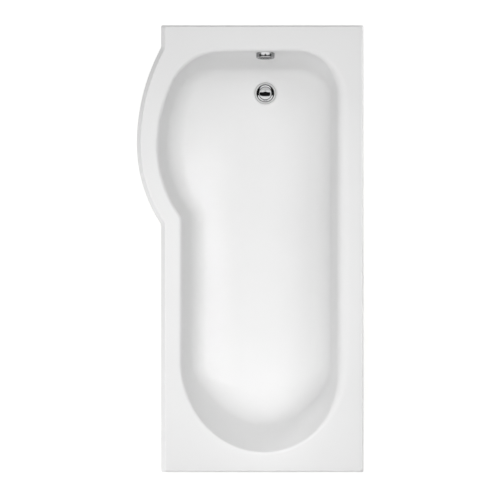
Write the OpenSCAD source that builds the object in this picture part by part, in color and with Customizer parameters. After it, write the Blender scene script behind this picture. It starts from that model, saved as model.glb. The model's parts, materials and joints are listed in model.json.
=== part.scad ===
// P shaped shower bath, left hand: acrylic shell with a bowed showering end,
// glass fibre backing, base board, rim battens, leg set, click waste and overflow.
// Millimetres. X runs across the bath with the wall side at +X, Y runs along it
// with the waste end at +Y, Z is up, and the origin is on the floor under the middle.

/* [Rim outline] */
// Length over the rim
bath_length = 1675; // [1640:5:1710]
// Width from the wall to the widest point of the bow
bath_width = 850; // [835:1:865]
// Width over the narrow end
narrow_width = 759; // [750:1:770]
// Height of the rim above the floor
rim_height = 545; // [535:5:570]
// From the waste end to the widest point of the bow
bow_apex = 446; // [436:1:456]
// Outer radius of the bow on the waste side
bow_head_radius = 768; // [750:1:790]
// Outer radius of the bow on the foot side
bow_foot_radius = 541; // [520:1:560]
// Hollow radius where the bow leaves the straight front
neck_radius = 32; // [25:1:40]
// Radius of the outer rim corners
lip_corner = 7; // [5:0.5:9]

/* [Rim section] */
// Depth of the turned down lip
lip_depth = 40; // [30:1:50]
// How far the front lip flares outward
front_flare = 15; // [10:1:18]
// How far the lips against the walls lean outward
side_flare = 5.5; // [4:0.5:8]
// Rim width along the wall
rim_wall = 53; // [50:1:60]
// Rim width at the waste end
rim_head = 81.5; // [78:0.5:85]
// Rim width along the straight front
rim_front = 66; // [62:1:72]
// Rim width at the widest point of the bow
rim_bow = 68; // [64:1:74]
// Rim width at the foot end
rim_foot = 65.5; // [60:0.5:75]

/* [Basin plan] */
// From the waste end to the widest point of the basin
bowl_apex = 453; // [443:1:463]
// Basin edge radius of the bow on the waste side
bowl_head_radius = 550; // [535:1:570]
// Basin edge radius of the bow on the foot side
bowl_foot_radius = 462; // [450:1:475]
// Basin edge radius where the bow meets the straight front
bowl_neck = 30; // [20:1:45]
// Basin corner radius by the wall at the waste end
corner_wall = 192; // [175:1:205]
// Basin corner radius by the front at the waste end
corner_front = 225; // [210:1:245]
// Length of the rounded foot end of the basin
foot_round = 349; // [335:1:365]

/* [Basin section] */
// Depth from the rim to the floor at the waste
basin_depth = 390; // [375:5:400]
// Plan width of the wall along the wall side
run_wall = 135; // [130:1:145]
// Plan width of the wall at the waste end
run_head = 120; // [112:1:123]
// Plan width of the wall along the bow
run_bow = 113; // [105:1:118]
// Plan width of the wall along the straight front
run_front = 105; // [98:1:115]
// Plan width of the sloping foot end
run_foot = 248; // [235:1:260]
// Edge radius along the wall side
edge_wall = 48; // [40:1:55]
// Edge radius at the waste end
edge_head = 18; // [15:0.5:20]
// Edge radius along the front and the bow
edge_front = 15; // [13:0.5:20]
// Edge radius at the foot end
edge_foot = 13; // [12:0.5:20]
// Cove radius along the wall side
cove_wall = 70; // [60:1:80]
// Cove radius at the waste end
cove_head = 45; // [38:1:50]
// Cove radius along the bow
cove_bow = 72; // [64:1:78]
// Cove radius along the straight front
cove_front = 60; // [54:1:70]
// Cove radius at the foot end
cove_foot = 150; // [130:1:170]
// Height over width of the bow's and front's coves, which are part ellipses
cove_stretch = 1.6; // [1:0.1:1.6]
// Fall of the floor per millimetre of distance from the waste
floor_fall = 0.012; // [0.008:0.001:0.016]
// Rise of the floor towards the side walls
floor_dish = 3; // [1:0.5:5]
// Radius of the level floor round the waste
level_radius = 165; // [160:1:190]

/* [Shell and backing] */
// Acrylic thickness
shell_thickness = 5; // [4:0.5:6]
// Glass fibre thickness
backing_thickness = 3; // [2:0.5:4]
// Resin bed between the glass fibre and the base board
bed_thickness = 2; // [1.5:0.5:4]
// Base board thickness
board_thickness = 18; // [15:1:20]
// Distance of the base board from the edge of the floor
board_margin = 22; // [18:1:30]
// Half width of the base board notch at the waste
board_notch = 62; // [58:1:70]
// Rim batten thickness
batten_thickness = 18; // [15:1:22]
// Gap between the battens and the lip
batten_gap = 8; // [6:1:12]
// Width of the bowed front batten
front_batten_width = 25; // [20:1:28]

/* [Waste] */
// Waste centre from the middle of the bath, towards the wall
waste_x = 57; // [50:1:64]
// Waste centre from the waste end
waste_back = 252.5; // [250:0.5:257]
// Recess diameter
recess_dia = 89; // [86:1:92]
// Recess depth
recess_depth = 4; // [3:0.5:5]
// Hole in the shell
waste_hole = 52; // [50:0.5:54]
// Waste flange diameter
flange_dia = 68; // [66:1:72]
// Waste flange thickness at its crest
flange_thickness = 2.6; // [2:0.2:3.2]
// Depth of the dish in the flange, from its crest down to its mouth
flange_dish = 2; // [1.6:0.1:2.2]
// Length of the flange tube below the flange
flange_tube = 42; // [38:1:44]
// Mouth of the waste
mouth_dia = 48; // [46:0.5:49]
// Plug dome diameter
plug_dia = 46; // [44:0.5:46.5]
// Height of the plug dome
plug_dome = 4.5; // [3:0.5:6]
// Travel of the click plug
plug_travel = 9; // [7:0.5:10]
// Gap between the closed plug and the flange
plug_gap = 0.4; // [0.3:0.1:0.8]
// Plug stem diameter
stem_dia = 8.6; // [8:0.2:9]
// Upper seal thickness
seal_upper = 1.2; // [1:0.1:1.5]
// Lower seal thickness
seal_lower = 3; // [2.5:0.5:4]
// Height of the waste body above its tail
waste_body_height = 66; // [62:1:70]
// Length of the threaded tail
tail_length = 33; // [28:1:36]
// Outer diameter of the threaded tail
tail_dia = 47.8; // [47:0.1:48.5]
// Spring wire diameter
spring_wire = 1.1; // [0.9:0.1:1.3]
// Spring curls
spring_curls = 7; // [6:1:8]

/* [Overflow] */
// Drop of the overflow centre below the rim
overflow_drop = 52; // [51:0.5:58]
// Overflow cover diameter
cover_dia = 70; // [66:1:72]
// Overflow cover depth off the wall
cover_depth = 19; // [16:0.5:22]
// Narrowing of the cover towards its face
cover_barrel = 1; // [0.6:0.1:1.6]
// Hole in the shell
overflow_hole = 52; // [50:0.5:54]
// Thickness of the seal behind the wall
overflow_seal_thickness = 3; // [2:0.5:4]
// Outer radius of the hose spigots
spigot_radius = 13; // [12:0.5:14]
// Spigot length under the hose
spigot_length = 22; // [20:1:26]
// Distance of the hose behind the backing at the overflow
hose_behind = 23; // [22:0.5:26]
// Bend radius of the hose
hose_bend = 47; // [44:1:48]
// Rib pitch of the hose
rib_pitch = 5; // [4.5:0.5:7]
// Rib height of the hose
rib_height = 2.2; // [1.6:0.2:2.6]
// Wall of the hose
hose_wall = 1.3; // [1:0.1:1.6]

/* [Leg set] */
// Cradle centre from the waste end
cradle_head_back = 507.5; // [490:2.5:530]
// Cradle centre from the foot end
cradle_foot_back = 437.5; // [415:2.5:460]
// Cradle channel width
channel_width = 40; // [36:1:44]
// Cradle channel height
channel_height = 25; // [22:1:30]
// Cradle sheet thickness
channel_sheet = 2; // [1.5:0.25:2.5]
// Reach of the feet inside the basin edge
foot_reach = 32; // [26:1:36]
// Threaded rod diameter
rod_dia = 10; // [9.5:0.1:10.2]
// Running clearance of a rod in its nuts
rod_clearance = 0.05; // [0.03:0.01:0.08]
// Rod above its upper nut
rod_spare = 18; // [17:1:20]
// Nut width across flats
nut_flats = 17; // [16:0.5:18]
// Nut height
nut_height = 8; // [7:0.5:8.4]
// Foot pad diameter
pad_dia = 48; // [44:1:52]
// Foot pad height
pad_height = 16; // [14:1:18]
// Centre foot from the middle of the bath
centre_foot_y = -40; // [-60:5:-20]
// Depth of the centre foot bracket
bracket_depth = 22; // [20:1:24]
// Wood screw shank diameter
screw_dia = 4.4; // [4:0.2:5]
// Wood screw length in the board
screw_bite = 13; // [10:1:14]

/* [Wall fixing] */
// Distance between the wall brackets
wall_bracket_pitch = 520; // [480:5:560]
// Width of a wall bracket
wall_bracket_width = 30; // [25:1:35]
// Sheet thickness of a wall bracket
wall_bracket_sheet = 2.5; // [2:0.25:3]
// Height of the leg against the wall
wall_bracket_leg = 62; // [55:1:70]
// Distance between the two wall screw holes
wall_hole_pitch = 25; // [20:1:28]
// Wall screw hole diameter
wall_hole_dia = 6; // [5:0.5:7]

/* [Hidden] */
$fn = 64;

// Outer lines of the rim
x_wall = bath_width/2;
x_bow = -bath_width/2;
x_front = x_wall - narrow_width;
y_head = bath_length/2;
y_foot = -bath_length/2;
// Lines where the flat rim ends and the basin edge begins to turn down
in_wall = x_wall - rim_wall;
in_head = y_head - rim_head;
in_front = x_front + rim_front;
in_bow = x_bow + rim_bow;
in_foot = y_foot + rim_foot;

// Stations per stretch of the outline
n_wall = 11;
n_corner = 9;
n_head = 14;
n_turn = 10;
n_bow = 7;
n_neck = 4;
n_front = 4;
n_foot = 26;
// Steps on the basin edge radius and on the cove
n_edge = 4;
n_cove = 5;
// Steps on an outer rim corner, and on the rim from it to the next stretch
n_lip = 4;
n_side = 3;

function mix(a, b, t) = a + (b - a)*t;
function ease(t) = t*t*(3 - 2*t);
function run(a, b, n) = [for (i = [0:n - 1]) mix(a, b, i/n)];
function dir(a) = [cos(a), sin(a)];
function bend(c, r, a0, a1, n) = [for (i = [0:n - 1]) c + r*dir(mix(a0, a1, i/n))];
function unit(v) = v/norm(v);

// Outer bow: two arcs that share the apex, each running into the front through a hollow fillet
y_apex = y_head - bow_apex;
bow_head_c = [x_bow + bow_head_radius, y_apex];
bow_foot_c = [x_bow + bow_foot_radius, y_apex];
neck_x = x_front - neck_radius;
neck_head_dy = sqrt(pow(bow_head_radius + neck_radius, 2) - pow(bow_head_c.x - neck_x, 2));
neck_foot_dy = sqrt(pow(bow_foot_radius + neck_radius, 2) - pow(bow_foot_c.x - neck_x, 2));
neck_head_a = atan2(neck_head_dy, bow_head_c.x - neck_x);
neck_foot_a = atan2(neck_foot_dy, bow_foot_c.x - neck_x);

// Basin edge: the same build with its own radii
y_bowl = y_head - bowl_apex;
bowl_head_c = [in_bow + bowl_head_radius, y_bowl];
bowl_foot_c = [in_bow + bowl_foot_radius, y_bowl];
turn_c_y = in_head - corner_front;
turn_a = asin((turn_c_y - y_bowl)/(bowl_head_radius - corner_front));
turn_c = [bowl_head_c.x - (bowl_head_radius - corner_front)*cos(turn_a), turn_c_y];
bowl_neck_x = in_front - bowl_neck;
bowl_neck_dy = sqrt(pow(bowl_foot_radius + bowl_neck, 2) - pow(bowl_foot_c.x - bowl_neck_x, 2));
bowl_neck_a = atan2(bowl_neck_dy, bowl_foot_c.x - bowl_neck_x);
wall_corner_c = [in_wall - corner_wall, in_head - corner_wall];
foot_c = [(in_wall + in_front)/2, in_foot + foot_round];
foot_half = (in_wall - in_front)/2;
y_neck = y_bowl - bowl_neck_dy;

// Waste centre and levels
waste_y = y_head - waste_back;
waste_p = [waste_x, waste_y];
floor_low = rim_height - basin_depth;
recess_r = recess_dia/2;
recess_z = floor_low - recess_depth;
recess_slope = 3;
skin_thickness = shell_thickness + backing_thickness;
bed_z = floor_low - skin_thickness - bed_thickness;
board_z = bed_z - board_thickness;
rim_under = rim_height - skin_thickness;

// Wall sections: plan width, edge radius, cove radius, height of both over their width
s_wall = [run_wall, edge_wall, cove_wall, 1];
s_head = [run_head, edge_head, cove_head, 1];
s_bow = [run_bow, edge_front, cove_bow, cove_stretch];
s_front = [run_front, edge_front, cove_front, cove_stretch];
s_foot = [run_foot, edge_foot, cove_foot, 1];

// Stations on the straights stand at even angles round the waste, so the floor fans out evenly
function by_angle(d, a0, a1, n) = [for (i = [0:n - 1]) let (a = mix(a0, a1, i/n)) d*sin(a)/cos(a)];
floor_dx = in_wall - run_wall - waste_x;
floor_dy = in_head - run_head - waste_y;
wall_y = [for (v = by_angle(floor_dx, atan2(foot_c.y - waste_y, floor_dx),
    atan2(wall_corner_c.y - waste_y, floor_dx), n_wall)) waste_y + v];
head_x = [for (v = by_angle(floor_dy, -atan2(wall_corner_c.x - waste_x, floor_dy),
    -atan2(turn_c.x - waste_x, floor_dy), n_head)) waste_x - v];

// At the foot the edge of the floor is half an ellipse too: plan width of the wall from the
// edge point p along the inward direction v, between a side section s and the foot section
function foot_run(p, v, side) = let (
        a = foot_half - side, b = foot_round - run_foot, q = p - foot_c,
        qa = pow(v.x/a, 2) + pow(v.y/b, 2), qb = q.x*v.x/a/a + q.y*v.y/b/b,
        qc = pow(q.x/a, 2) + pow(q.y/b, 2) - 1)
    (-qb - sqrt(qb*qb - qa*qc))/qa;
function foot_section(p, v, s) = let (d = foot_run(p, v, s[0]), t = (d - s[0])/(run_foot - s[0]))
    [d, mix(s[1], edge_foot, t), mix(s[2], cove_foot, t), mix(s[3], 1, t)];

// Stations of the basin edge: point, inward direction, section
basin = concat(
    [for (y = wall_y) [[in_wall, y], [-1, 0], s_wall]],
    [for (i = [0:n_corner - 1]) let (a = 90*i/n_corner)
        [wall_corner_c + corner_wall*dir(a), -dir(a), mix(s_wall, s_head, ease(i/n_corner))]],
    [for (x = head_x) [[x, in_head], [0, -1], s_head]],
    [for (i = [0:n_turn - 1]) let (a = mix(90, 180 - turn_a, i/n_turn))
        [turn_c + corner_front*dir(a), -dir(a), mix(s_head, s_bow, ease(i/n_turn))]],
    [for (i = [0:n_bow - 1]) let (a = mix(180 - turn_a, 180, i/n_bow))
        [bowl_head_c + bowl_head_radius*dir(a), -dir(a), s_bow]],
    [for (i = [0:n_bow - 1]) let (a = mix(180, 180 + bowl_neck_a, i/n_bow))
        [bowl_foot_c + bowl_foot_radius*dir(a), -dir(a), mix(s_bow, s_front, ease(i/n_bow)/2)]],
    [for (i = [0:n_neck - 1]) let (a = mix(bowl_neck_a, 0, i/n_neck))
        [[bowl_neck_x, y_neck] + bowl_neck*dir(a), dir(a), mix(s_bow, s_front, (1 + ease(i/n_neck))/2)]],
    [for (y = run(y_neck, foot_c.y, n_front)) [[in_front, y], [1, 0], s_front]],
    [for (i = [0:n_foot - 1]) let (a = 180 + 180*i/n_foot,
        p = foot_c + [foot_half*cos(a), foot_round*sin(a)], v = -unit([cos(a)/foot_half, sin(a)/foot_round]))
        [p, v, foot_section(p, v, a < 270 ? s_front : s_wall)]]);

// Ring round the outer rim, pulled in by e = [front, wall, head, foot], station for station with basin
function rim_ring(e, rc) = let (
        xf = x_front + e[0], xw = x_wall - e[1], yh = y_head - e[2], yf = y_foot + e[3],
        neck_h = [neck_x, y_apex + neck_head_dy], neck_f = [neck_x, y_apex - neck_foot_dy],
        n_rest = n_corner - n_lip - n_side, n_end = n_foot/2 - n_lip - n_side)
    concat(
        [for (y = wall_y) [xw, y]],
        run([xw, wall_corner_c.y], [xw, yh - rc], n_side),
        bend([xw - rc, yh - rc], rc, 0, 90, n_lip),
        run([xw - rc, yh], [wall_corner_c.x, yh], n_rest),
        [for (x = head_x) [x, yh]],
        run([turn_c.x, yh], [xf + rc, yh], n_side),
        bend([xf + rc, yh - rc], rc, 90, 180, n_lip),
        [[xf, yh - rc]],
        bend(neck_h, neck_radius + e[0], 0, -neck_head_a, n_turn - n_side - n_lip - 1),
        bend(bow_head_c, bow_head_radius - e[0], 180 - neck_head_a, 180, n_bow),
        bend(bow_foot_c, bow_foot_radius - e[0], 180, 180 + neck_foot_a, n_bow),
        bend(neck_f, neck_radius + e[0], neck_foot_a, 0, n_neck),
        run([xf, neck_f.y], [xf, foot_c.y], n_front),
        run([xf, foot_c.y], [xf, yf + rc], n_side),
        bend([xf + rc, yf + rc], rc, 180, 270, n_lip),
        run([xf + rc, yf], [foot_c.x, yf], n_end),
        run([foot_c.x, yf], [xw - rc, yf], n_end),
        bend([xw - rc, yf + rc], rc, 270, 360, n_lip),
        run([xw, yf + rc], [xw, foot_c.y], n_side));

function lift(ring, z) = [for (p = ring) [p.x, p.y, z]];

// Floor level: flat round the waste, then a slow fall towards it and a shallow dish across
function floor_z(p) = let (e = max(0, norm(p - waste_p) - level_radius))
    floor_low + floor_fall*e*e/(e + level_radius)
    + floor_dish*pow((p.x - waste_x)/200, 2)*e/(e + 2*level_radius);
function floor_edge(s) = s[0] + s[2][0]*s[1];

// Steepness of a wall that is tangent to its edge radius and to its cove
function wall_angle(d, h, r) = atan2(h - r, d) + asin(r/norm([d, h - r]));

// Point k of station s on the face that lies t behind the finished face
n_skin = n_edge + n_cove + 1;
function skin(s, k, t) = let (
        d = s[2][0], re = s[2][1], rc = s[2][2], up = s[2][3], h = (rim_height - floor_z(floor_edge(s)))/up,
        steep = wall_angle(d, h, re + rc),
        a = k <= n_edge ? steep*k/n_edge : steep*(1 - (k - n_edge - 1)/n_cove),
        q = k <= n_edge ? [re*sin(a), -re + re*cos(a)] : [d - rc*sin(a), -h + rc - rc*cos(a)],
        face = [q.x, up*q.y] - t*unit([up*sin(a), cos(a)]))
    [s[0].x + s[1].x*face.x, s[0].y + s[1].y*face.x, rim_height + face.y];
function skin_ring(k, t) = [for (s = basin) skin(s, k, t)];

// Floor rings run on rays from the waste
function ray(s, d) = waste_p + d*unit(floor_edge(s) - waste_p);
function reach(s) = norm(floor_edge(s) - waste_p);
// Distance from the waste to the edge of the resin bed, and to a ring just outside the recess
function bed_reach(s, m) = reach(s) - min(m, 0.3*(reach(s) - recess_r));
function near_reach(s, m, share) = recess_r + min(m, share*(reach(s) - recess_r));
bed_margin = board_margin - 6;
function bed_ring(t) = [for (s = basin) let (p = ray(s, bed_reach(s, bed_margin))) [p.x, p.y, floor_z(p) - t]];
function mid_ring(t) = [for (s = basin)
    let (p = ray(s, mix(near_reach(s, 2*recess_slope, 0.4), bed_reach(s, bed_margin), 0.45)))
    [p.x, p.y, floor_z(p) - t]];
function near_ring(m, share, z) = lift([for (s = basin) ray(s, near_reach(s, m, share))], z);
function round_ring(r, z) = lift([for (s = basin) ray(s, r)], z);

// Closed skin through a loop of rings that all have the same number of points. The first
// turned bands are split along the other diagonal, to lie on a skin that runs the other way.
module loop_skin(rings, turned = 0) {
    m = len(rings);
    n = len(rings[0]);
    polyhedron([for (r = rings) each r],
        [for (j = [0:m - 1]) for (i = [0:n - 1])
            let (j2 = (j + 1)%m, i2 = (i + 1)%n, p = j*n + i, q = j2*n + i, r = j2*n + i2, s = j*n + i2)
            each j < turned ? [[p, q, s], [q, r, s]] : [[p, q, r], [p, r, s]]],
        convexity = 10);
}

flare = [front_flare, side_flare, side_flare, side_flare];
all4 = [1, 1, 1, 1];
// Small rounding where the lip meets the flat rim
lip_round = 3;
lip_in = flare + shell_thickness*all4;
lip_corner_in = lip_corner - 4;

shell_rings = concat(
    [lift(rim_ring(0*all4, lip_corner), rim_height - lip_depth),
     lift(rim_ring(flare*(1 - lip_round/lip_depth), lip_corner), rim_height - lip_round),
     lift(rim_ring(flare + 0.25*lip_round*all4, lip_corner), rim_height - 0.3*lip_round),
     lift(rim_ring(flare + lip_round*all4, lip_corner), rim_height)],
    [for (k = [0:n_skin]) skin_ring(k, 0)],
    [bed_ring(0), mid_ring(0),
     round_ring(recess_r, floor_low),
     round_ring(recess_r - recess_slope, floor_low - 0.7*recess_depth),
     round_ring(recess_r - 2*recess_slope, recess_z),
     round_ring(waste_hole/3, recess_z),
     round_ring(waste_hole/3, recess_z - shell_thickness),
     round_ring(recess_r - recess_slope, recess_z - shell_thickness),
     near_ring(recess_slope, 0.2, floor_low - shell_thickness),
     mid_ring(shell_thickness), bed_ring(shell_thickness)],
    [for (k = [n_skin:-1:0]) skin_ring(k, shell_thickness)],
    [lift(rim_ring(lip_in, lip_corner_in), rim_height - shell_thickness),
     lift(rim_ring(shell_thickness*all4, lip_corner_in), rim_height - lip_depth)]);

// Bands that both skins split the same way: the shell's finished face, and the backing on its back
shell_shared = n_skin + 9;
backing_shared = n_skin + 4;
backing_rings = concat(
    [lift(rim_ring(lip_in, lip_corner_in), rim_height - shell_thickness)],
    [for (k = [0:n_skin]) skin_ring(k, shell_thickness)],
    [bed_ring(shell_thickness), mid_ring(shell_thickness),
     near_ring(recess_slope, 0.2, floor_low - shell_thickness),
     near_ring(2*recess_slope, 0.4, bed_z),
     lift(mid_ring(0), bed_z), lift(bed_ring(0), bed_z)],
    [for (k = [n_skin:-1:0]) skin_ring(k, skin_thickness)],
    [lift(rim_ring(lip_in, lip_corner_in), rim_under)]);

// Overflow seat on the flat of the head wall, and its own frame: z into the basin, y up the wall
head_steep = wall_angle(run_head, basin_depth, edge_head + cove_head);
seat_s = edge_head*sin(head_steep)
    + (overflow_drop - edge_head*(1 - cos(head_steep)))*cos(head_steep)/sin(head_steep);
seat_p = [waste_x, in_head - seat_s, rim_height - overflow_drop];
module at_overflow() translate(seat_p) rotate([head_steep, 0, 0]) children();

module bath_shell() color([0.95, 0.95, 0.95]) difference() {
    loop_skin(shell_rings, shell_shared);
    translate([waste_x, waste_y, recess_z - shell_thickness - 5])
        cylinder(r = waste_hole/2, h = shell_thickness + 10);
    at_overflow() translate([0, 0, -skin_thickness - 4])
        cylinder(r = overflow_hole/2, h = skin_thickness + 8);
}

module fibreglass_backing() color([0.78, 0.80, 0.70]) difference() {
    loop_skin(backing_rings, backing_shared);
    at_overflow() translate([0, 0, -skin_thickness - 4])
        cylinder(r = overflow_hole/2, h = skin_thickness + 8);
}

// Base board ----------------------------------------------------------------
cradle_head_y = y_head - cradle_head_back;
cradle_foot_y = y_foot + cradle_foot_back;
channel_screw_x = [in_front + run_front + board_margin + 22, in_wall - run_wall - board_margin - 22];
channel_screw_dy = channel_width/2 - 11;
bracket_sheet = 3;
flange_screw_dx = 36;
flange_screw_dy = 14;
centre_p = [foot_c.x, centre_foot_y];
// Wood screw places: [x, y, level of the underside of the head]
leg_screw_places = concat(
    [for (y = [cradle_head_y, cradle_foot_y]) for (x = channel_screw_x) for (k = [-1, 1])
        [x, y + k*channel_screw_dy, board_z - channel_sheet]],
    [for (k = [-1, 1]) for (j = [-1, 1])
        [centre_p.x + k*flange_screw_dx, centre_p.y + j*flange_screw_dy, board_z - bracket_sheet]]);
pilot_clearance = 0.05;

module base_board() color([0.72, 0.58, 0.38]) difference() {
    translate([0, 0, board_z]) linear_extrude(board_thickness)
        polygon([for (s = basin) ray(s, bed_reach(s, board_margin))]);
    translate([waste_x, waste_y, board_z - 1]) {
        cylinder(r = board_notch, h = board_thickness + 2);
        translate([-board_notch, 0, 0]) cube([2*board_notch, 2*board_notch, board_thickness + 2]);
    }
    translate([centre_p.x, centre_p.y, board_z - 1]) cylinder(r = rod_dia/2 + 3, h = board_thickness + 2);
    for (p = leg_screw_places) translate([p.x, p.y, board_z - 1])
        cylinder(r = screw_dia/2 + pilot_clearance, h = screw_bite + 1.5, $fn = 24);
}

// Rim battens -----------------------------------------------------------------
batten_z = rim_under - batten_thickness;
batten_in = side_flare + shell_thickness + batten_gap;
batten_edge = 6;
front_batten_in = front_flare + shell_thickness + batten_gap - 3;

function front_path(e) = concat(
    bend(bow_head_c, bow_head_radius - e, 180 - neck_head_a + 6, 180, 10),
    bend(bow_foot_c, bow_foot_radius - e, 180, 180 + neck_foot_a, 12),
    bend([neck_x, y_apex - neck_foot_dy], neck_radius + e, neck_foot_a, 0, 6),
    [[x_front + e, y_apex - neck_foot_dy], [x_front + e, in_foot + 40]]);
function reverse(v) = [for (i = [len(v) - 1:-1:0]) v[i]];

module front_batten() color([0.80, 0.66, 0.45]) translate([0, 0, batten_z])
    linear_extrude(batten_thickness) polygon(concat(
        front_path(front_batten_in), reverse(front_path(front_batten_in + front_batten_width))));

wall_batten_x = [in_wall + batten_edge, x_wall - batten_in];
wall_bracket_ys = [for (k = [-1:1]) k*wall_bracket_pitch];
bracket_screw_x = wall_batten_x[0] + 12;
bracket_bite = 12;

module wall_batten() color([0.82, 0.68, 0.46]) difference() {
    translate([wall_batten_x[0], in_foot, batten_z])
        cube([wall_batten_x[1] - wall_batten_x[0], in_head - in_foot - 10, batten_thickness]);
    for (y = wall_bracket_ys) translate([bracket_screw_x, y, batten_z - 1])
        cylinder(r = screw_dia/2 + pilot_clearance, h = bracket_bite + 1.5, $fn = 24);
}

module head_batten() color([0.82, 0.68, 0.46])
    translate([in_front + 20, in_head + batten_edge, batten_z])
        cube([x_wall - batten_in - in_front - 40, y_head - batten_in - in_head - batten_edge, batten_thickness]);

module foot_batten() color([0.82, 0.68, 0.46])
    translate([in_front + 20, y_foot + batten_in, batten_z])
        cube([x_wall - batten_in - in_front - 40, in_foot - batten_edge - y_foot - batten_in, batten_thickness]);

// Leg set ---------------------------------------------------------------------
rod_r = rod_dia/2;
nut_r = nut_flats/2/cos(30);
foot_x_head_front = in_bow + foot_reach;
foot_x_foot_front = in_front + foot_reach;
foot_x_wall = in_wall - foot_reach;
cradle_over = 20;

// Channel, open downward, with its web against the board and its flange ends cut back
module channel(x0, x1, y, rods) difference() {
    translate([x0, y, board_z]) rotate([90, 0, 90]) linear_extrude(x1 - x0)
        polygon([[-channel_width/2 + 1, 0], [channel_width/2 - 1, 0], [channel_width/2, -1],
            [channel_width/2, -channel_height], [channel_width/2 - channel_sheet, -channel_height],
            [channel_width/2 - channel_sheet, -channel_sheet], [-channel_width/2 + channel_sheet, -channel_sheet],
            [-channel_width/2 + channel_sheet, -channel_height], [-channel_width/2, -channel_height],
            [-channel_width/2, -1]]);
    for (x = [x0, x1]) translate([x, y, board_z - channel_height]) rotate([90, 45, 0])
        cube([20, 20, channel_width + 10], center = true);
    for (x = rods) translate([x, y, board_z - channel_sheet - 1])
        cylinder(r = rod_r + 0.5, h = channel_sheet + 2);
    for (x = channel_screw_x) for (k = [-1, 1]) translate([x, y + k*channel_screw_dy, board_z - channel_sheet - 1])
        cylinder(r = screw_dia/2 + 0.3, h = channel_sheet + 2, $fn = 24);
}

module head_cradle() color([0.62, 0.64, 0.66])
    channel(foot_x_head_front - cradle_over, foot_x_wall + cradle_over, cradle_head_y,
        [foot_x_head_front, foot_x_wall]);
module foot_cradle() color([0.62, 0.64, 0.66])
    channel(foot_x_foot_front - cradle_over, foot_x_wall + cradle_over, cradle_foot_y,
        [foot_x_foot_front, foot_x_wall]);

// Hat shaped bracket of the centre foot
hat_half = 24;
hat_flange = 24;
hat_length = 50;
module centre_bracket() color([0.62, 0.64, 0.66]) difference() {
    translate([centre_p.x, centre_p.y + hat_length/2, board_z]) rotate([90, 0, 0]) linear_extrude(hat_length)
        polygon([[-hat_half - hat_flange, 0], [-hat_half, 0], [-hat_half, -bracket_depth],
            [hat_half, -bracket_depth], [hat_half, 0], [hat_half + hat_flange, 0],
            [hat_half + hat_flange, -bracket_sheet], [hat_half + bracket_sheet, -bracket_sheet],
            [hat_half + bracket_sheet, -bracket_depth - bracket_sheet],
            [-hat_half - bracket_sheet, -bracket_depth - bracket_sheet],
            [-hat_half - bracket_sheet, -bracket_sheet], [-hat_half - hat_flange, -bracket_sheet]]);
    translate([centre_p.x, centre_p.y, board_z - bracket_depth - bracket_sheet - 1])
        cylinder(r = rod_r + 0.5, h = bracket_sheet + 2);
    for (k = [-1, 1]) for (j = [-1, 1])
        translate([centre_p.x + k*flange_screw_dx, centre_p.y + j*flange_screw_dy, board_z - bracket_sheet - 1])
            cylinder(r = screw_dia/2 + 0.3, h = bracket_sheet + 2, $fn = 24);
}

// Rod places: [x, y, top face of the sheet that carries it, sheet thickness]
cradle_rods = [[foot_x_head_front, cradle_head_y], [foot_x_wall, cradle_head_y],
    [foot_x_foot_front, cradle_foot_y], [foot_x_wall, cradle_foot_y]];
rod_places = concat([for (p = cradle_rods) [p.x, p.y, board_z, channel_sheet]],
    [[centre_p.x, centre_p.y, board_z - bracket_depth, bracket_sheet]]);

module hex_nut(z) translate([0, 0, z]) difference() {
    intersection() {
        cylinder(r = nut_r, h = nut_height, $fn = 6);
        rotate_extrude() polygon([[0, 0], [nut_r - 1, 0], [nut_r, 0.6], [nut_r, nut_height - 0.6],
            [nut_r - 1, nut_height], [0, nut_height]]);
    }
    translate([0, 0, -1]) cylinder(r = rod_r + rod_clearance, h = nut_height + 2);
}
module leg_nuts() color([0.80, 0.80, 0.78]) for (p = rod_places) translate([p.x, p.y, 0]) {
    hex_nut(p[2]);
    hex_nut(p[2] - p[3] - nut_height);
}

module wood_screw(bite, grip) {
    translate([0, 0, -2.4]) rotate_extrude() polygon([[0, 0], [2.6, 0], [4.2, 0.9], [4.5, 2.4], [0, 2.4]]);
    cylinder(r = screw_dia/2, h = bite + grip, $fn = 24);
}
module leg_screws() color([0.75, 0.72, 0.60]) for (p = leg_screw_places) translate(p)
    wood_screw(screw_bite - 0.5, board_z - p.z);

// Foot: a threaded rod seated in a plastic pad
pad_floor = 5;
module rod(place, top) color([0.80, 0.80, 0.78]) translate([place.x, place.y, pad_floor])
    union() {
        cylinder(r = rod_r, h = top - pad_floor - 1);
        translate([0, 0, top - pad_floor - 1]) rotate_extrude() polygon([[0, 0], [rod_r, 0], [rod_r - 1, 1], [0, 1]]);
    }
module pad(place) color([0.16, 0.16, 0.17]) translate([place.x, place.y, 0]) rotate_extrude()
    polygon([[0, 0], [pad_dia/2 - 1, 0], [pad_dia/2, 1], [pad_dia/2, 4], [pad_dia/2 - 1.5, 5.5],
        [rod_r + 8, 7], [rod_r + 5, 9], [rod_r + 4, pad_height - 1], [rod_r + 3, pad_height],
        [rod_r + rod_clearance, pad_height], [rod_r + rod_clearance, pad_floor], [0, pad_floor]]);
cradle_rod_top = board_z + nut_height + rod_spare + 2;
centre_rod_top = board_z - 3;
module rod_head_front() rod(cradle_rods[0], cradle_rod_top);
module pad_head_front() pad(cradle_rods[0]);
module rod_head_wall() rod(cradle_rods[1], cradle_rod_top);
module pad_head_wall() pad(cradle_rods[1]);
module rod_foot_front() rod(cradle_rods[2], cradle_rod_top);
module pad_foot_front() pad(cradle_rods[2]);
module rod_foot_wall() rod(cradle_rods[3], cradle_rod_top);
module pad_foot_wall() pad(cradle_rods[3]);
module rod_centre() rod(centre_p, centre_rod_top);
module pad_centre() pad(centre_p);

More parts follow.
